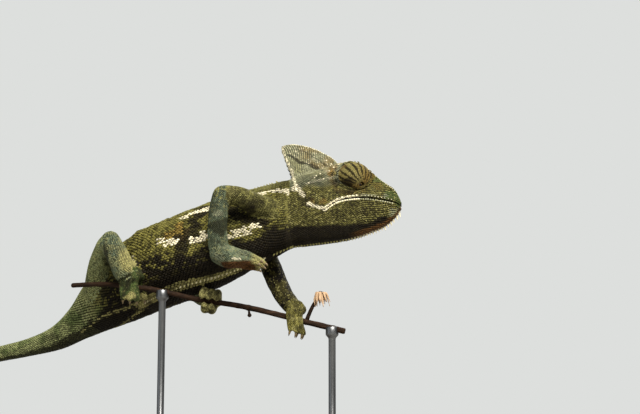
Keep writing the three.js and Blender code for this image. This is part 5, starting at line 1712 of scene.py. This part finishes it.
def base_rings(bevel):
    """Base: a rounded rectangle's outline carried up a profile of inset and height, with quarter-round edges,
    and inset rings that close the top and the underside."""
    a = np.radians(np.linspace(0, 90, 13))
    long, wide, corner = BASE["long"] / 2, BASE["wide"] / 2, BASE["corner"]
    middle = np.array([[1, 1], [-1, 1], [-1, -1], [1, -1]]) * [long - corner, wide - corner]
    turn = np.concatenate([a + k * np.pi / 2 for k in range(4)])
    ray = columns(np.cos(turn), np.sin(turn))
    middle = np.repeat(middle, len(a), 0)
    b = np.radians(np.linspace(0, 90, 7))
    low, high = bevel * (1 - np.sin(b)), bevel * (1 - np.cos(b))
    inset = np.concatenate([[11, 4], low, high, [4, 11]])
    z = np.concatenate([[0, 0], high, BASE["thick"] - low, [BASE["thick"]] * 2])
    outline = middle + ray * (corner - inset)[:, None, None]
    return np.concatenate([outline, np.broadcast_to(z[:, None, None], outline.shape[:2] + (1,))], -1)


def rod_rings(x):
    """Rod: a profile of height and radius turned about the upright, with a cup on top whose floor follows the
    underside of the twig at a small gap."""
    centre, run, left, _ = twig_frame(x)
    low = BASE["thick"] + ROD_GAP
    high = centre[2] + 0.5 - low
    foot = [[0, 0.6], [0, 3.9], [0.25, 4.2], [0.95, 4.2], [1.2, 4.0], [1.5, 3.0], [2.4, 1.5]]
    neck = [[high - 5, 1.5], [high - 4.4, 1.75], [high - 3.4, 2.62], [high - 3.1, 2.7], [high - 0.15, 2.7],
            [high, 2.58]]
    top = [[high, r] for r in (2.4, 2.1, 1.8, 1.5, 1.2, 0.9, 0.6, 0.3, 0.05)]
    h, r = np.array(foot + neck + top).T
    flat = columns(np.cos(turns(48)), np.sin(turns(48))) * r[:, None, None]
    z = np.broadcast_to(h[:, None], flat.shape[:2]) + low
    off = flat @ left[:2] / np.hypot(*left[:2])
    ahead = flat @ run[:2]
    clear = 1.38
    floor = centre[2] + ahead * run[2] / np.hypot(*run[:2]) - np.sqrt(np.maximum(clear ** 2 - off ** 2, 0)) * 1.02
    notch = (np.abs(off) < clear) & (h[:, None] > high - 3.0)
    z = np.where(notch, np.minimum(z, floor), z)
    return np.concatenate([flat + centre[:2], z[..., None]], -1)


def wood_finish(hues):
    """Stained hardwood: rings stretched along the base, fine pores, satin varnish worn a little dull."""
    f = Finish("stand_wood", 0.4, IOR=1.5, Coat_Weight=0.25, Coat_Roughness=0.18)
    ring, pore = f.clouds(26, 5, 0.6, (1, 9, 9)), f.clouds(420, 2, stretch=(0.25, 6, 6))
    wood = f.ramp(ring, (0.3, 0x241810), (0.5, hues.wood), (0.72, 0x5C422C))
    f.feed("Base Color", f.mix((pore * 2.2 - 0.9).clamp() * 0.5, wood, 0x1A110B))
    f.feed("Roughness", 0.32 + pore * 0.2)
    return f.bump(pore * 0.6 + ring * 0.4, 0.25, 0.0002)


def metal_finish(hues):
    """Satin metal: brushed round the rods, with faint clouds in its gloss."""
    f = Finish("stand_metal", 0.34, Metallic=0.95)
    brush, cloud = f.clouds(900, 3, stretch=(1, 1, 18)), f.clouds(120, 3)
    f.feed("Base Color", f.mix(cloud * 0.5, hues.metal, 0x85878A))
    f.feed("Roughness", 0.26 + brush * 0.16 + cloud * 0.08)
    return f.bump(brush, 0.15, 0.00004)


class ChameleonStand(bpy.types.Operator):
    """Display base of stained wood and two satin rods with cups under the twig"""
    bl_idname = "chameleon.stand"
    bl_label = "Stand"

    def execute(self, context):
        sizes = context.scene.chameleon_stand
        base = join_grids("stand_base_wood", [base_rings(sizes.bevel / MM)])
        base.modifiers.new("corners", "BEVEL").width = 0.0001
        settle(base, wood_finish(sizes), "stand_wood", "stand_base")
        for name, x in ROD_PLACES.items():
            rod = join_grids("stand_rod_metal_" + name, [rod_rings(x)])
            settle(rod, metal_finish(sizes), "stand_metal", "stand_rod_" + name)
        return {"FINISHED"}


# ---- stage
def power_property(name, description, watts):
    return FloatProperty(name=name, description=description, subtype="POWER", unit="POWER", default=watts, min=0)


class StageSettings(bpy.types.PropertyGroup):
    """Light and camera."""
    key: power_property("Key light", "Power of the main light", 11.0)
    fill: power_property("Fill light", "Power of the light from the other side", 0.8)
    rim: power_property("Rim light", "Power of the light from behind", 2.5)
    air: FloatProperty(name="Ambient light", description="Share of the backdrop's tone that lights the model",
                       default=0.2, min=0)
    backdrop: colour_property("Backdrop", "Even pale tone round the model", 0xDDDFDD)
    floor: colour_property("Floor", "Plain pale floor near the stand", 0xA3A19B)
    lens: FloatProperty(name="Lens", description="Focal length in millimetres", subtype="DISTANCE_CAMERA",
                        unit="CAMERA", default=85.0, min=10)


# Lights: setting of the power, edge in metres, place and colour. Camera: place and what it looks at.
LIGHTS = [("key", 0.32, (330, -420, 620), (1.0, 0.96, 0.88)), ("fill", 0.6, (-520, -520, 260), (0.9, 0.95, 1.0)),
          ("rim", 0.4, (60, 560, 520), (1.0, 0.98, 0.95))]
LIT_PLACE = (-20, 0, 105)
CAMERA = (281.26, -579.82, 13.73), (47, 0, 124)
FLOOR_HALF, FLOOR_CORNERS = 1500, 13


def aimed(thing, place, target):
    """Stands a lamp or camera at a place in millimetres and turns it toward another."""
    thing.location = Vector(place) * MM
    thing.rotation_euler = (Vector(target) - Vector(place)).to_track_quat("-Z", "Y").to_euler()
    return thing


def paper_floor(settings):
    """Pale floor with a faint grain, which far from the stand fades into the backdrop by its own light."""
    x, y = np.meshgrid(*[np.linspace(-FLOOR_HALF, FLOOR_HALF, FLOOR_CORNERS)] * 2)
    n = FLOOR_CORNERS
    i, j = np.meshgrid(np.arange(n - 1), np.arange(n - 1))
    first = (i * n + j).ravel()
    floor = build("floor", np.stack([x, y, 0 * x], -1).reshape(-1, 3),
                  [columns(first, first + 1, first + n + 1, first + n)])
    f = Finish("floor_paper", 0.8, Emission_Strength=0.8)
    grain = f.clouds(300, 3)
    f.feed("Base Color", f.mix(grain * 0.2, settings.floor, 0x8C8A84))
    far = f.add("ShaderNodeVectorMath", {"operation": "LENGTH"}, f.place(), out="Value")
    f.feed("Emission Color", f.mix((far * 1.1 - 0.3).clamp(), 0x000000, settings.backdrop))
    floor.data.materials.append(f.bump(grain, 0.1, 0.0003))
    return floor


def even_light(settings):
    """World that shows the backdrop's tone and lights the model with a share of it."""
    world = bpy.data.worlds.new("even_light")
    world.use_nodes = True
    tree = world.node_tree
    tone, air = tree.nodes["Background"], tree.nodes.new("ShaderNodeBackground")
    for node in (tone, air):
        node.inputs["Color"].default_value = rgba(settings.backdrop)
    air.inputs["Strength"].default_value = settings.air
    seen, either = tree.nodes.new("ShaderNodeLightPath"), tree.nodes.new("ShaderNodeMixShader")
    tree.links.new(seen.outputs["Is Camera Ray"], either.inputs[0])
    tree.links.new(air.outputs[0], either.inputs[1])
    tree.links.new(tone.outputs[0], either.inputs[2])
    tree.links.new(either.outputs[0], tree.nodes["World Output"].inputs["Surface"])
    return world


class ChameleonStage(bpy.types.Operator):
    """Pale floor, soft lights, even backdrop tone and the camera"""
    bl_idname = "chameleon.stage"
    bl_label = "Stage"

    def execute(self, context):
        scene, settings = context.scene, context.scene.chameleon_stage
        floor = paper_floor(settings)
        for name, wide, place, colour in LIGHTS:
            lamp = bpy.data.lights.new(name, "AREA")
            lamp.energy, lamp.size, lamp.color = getattr(settings, name), wide, colour
            aimed(shown(name, lamp), place, LIT_PLACE)
        scene.world = even_light(settings)
        scene.view_settings.view_transform = "Standard"
        lens = bpy.data.cameras.new("camera")
        lens.lens, lens.sensor_width = settings.lens, 36.0
        lens.clip_start, lens.clip_end = 0.01, 20.0
        scene.camera = aimed(shown("camera", lens), *CAMERA)
        return {"FINISHED"}


# ---- add-on
GROUPS = {"chameleon_hues": SkinColours, "chameleon_skin": SkinSizes, "chameleon_beads": BeadSizes,
          "chameleon_crests": CrestSizes, "chameleon_eyes": EyeSizes, "chameleon_twig": TwigSizes,
          "chameleon_stand": StandSizes, "chameleon_stage": StageSettings}
OPERATORS = [ChameleonSkin, ChameleonScales, ChameleonBeads, ChameleonCrests, ChameleonClaws, ChameleonEyes,
             ChameleonTwig, ChameleonStand, ChameleonStage]


class ChameleonPanel(bpy.types.Panel):
    """Sizes, colours and steps of the chameleon"""
    bl_idname = "VIEW3D_PT_chameleon"
    bl_label = "Chameleon"
    bl_space_type = "VIEW_3D"
    bl_region_type = "UI"
    bl_category = "Chameleon"

    def draw(self, context):
        for name, group in GROUPS.items():
            box = self.layout.box()
            box.label(text=group.__doc__)
            for key in group.__annotations__:
                box.prop(getattr(context.scene, name), key)
        for step in OPERATORS:
            self.layout.operator(step.bl_idname)


CLASSES = (*GROUPS.values(), *OPERATORS, ChameleonPanel)


def register():
    for item in CLASSES:
        bpy.utils.register_class(item)
    for name, group in GROUPS.items():
        setattr(bpy.types.Scene, name, PointerProperty(type=group))


def unregister():
    for name in GROUPS:
        delattr(bpy.types.Scene, name)
    for item in reversed(CLASSES):
        bpy.utils.unregister_class(item)


def main():
    register()
    for step in OPERATORS:
        group, name = step.bl_idname.split(".")
        getattr(getattr(bpy.ops, group), name)()


if __name__ == "__main__":
    main()
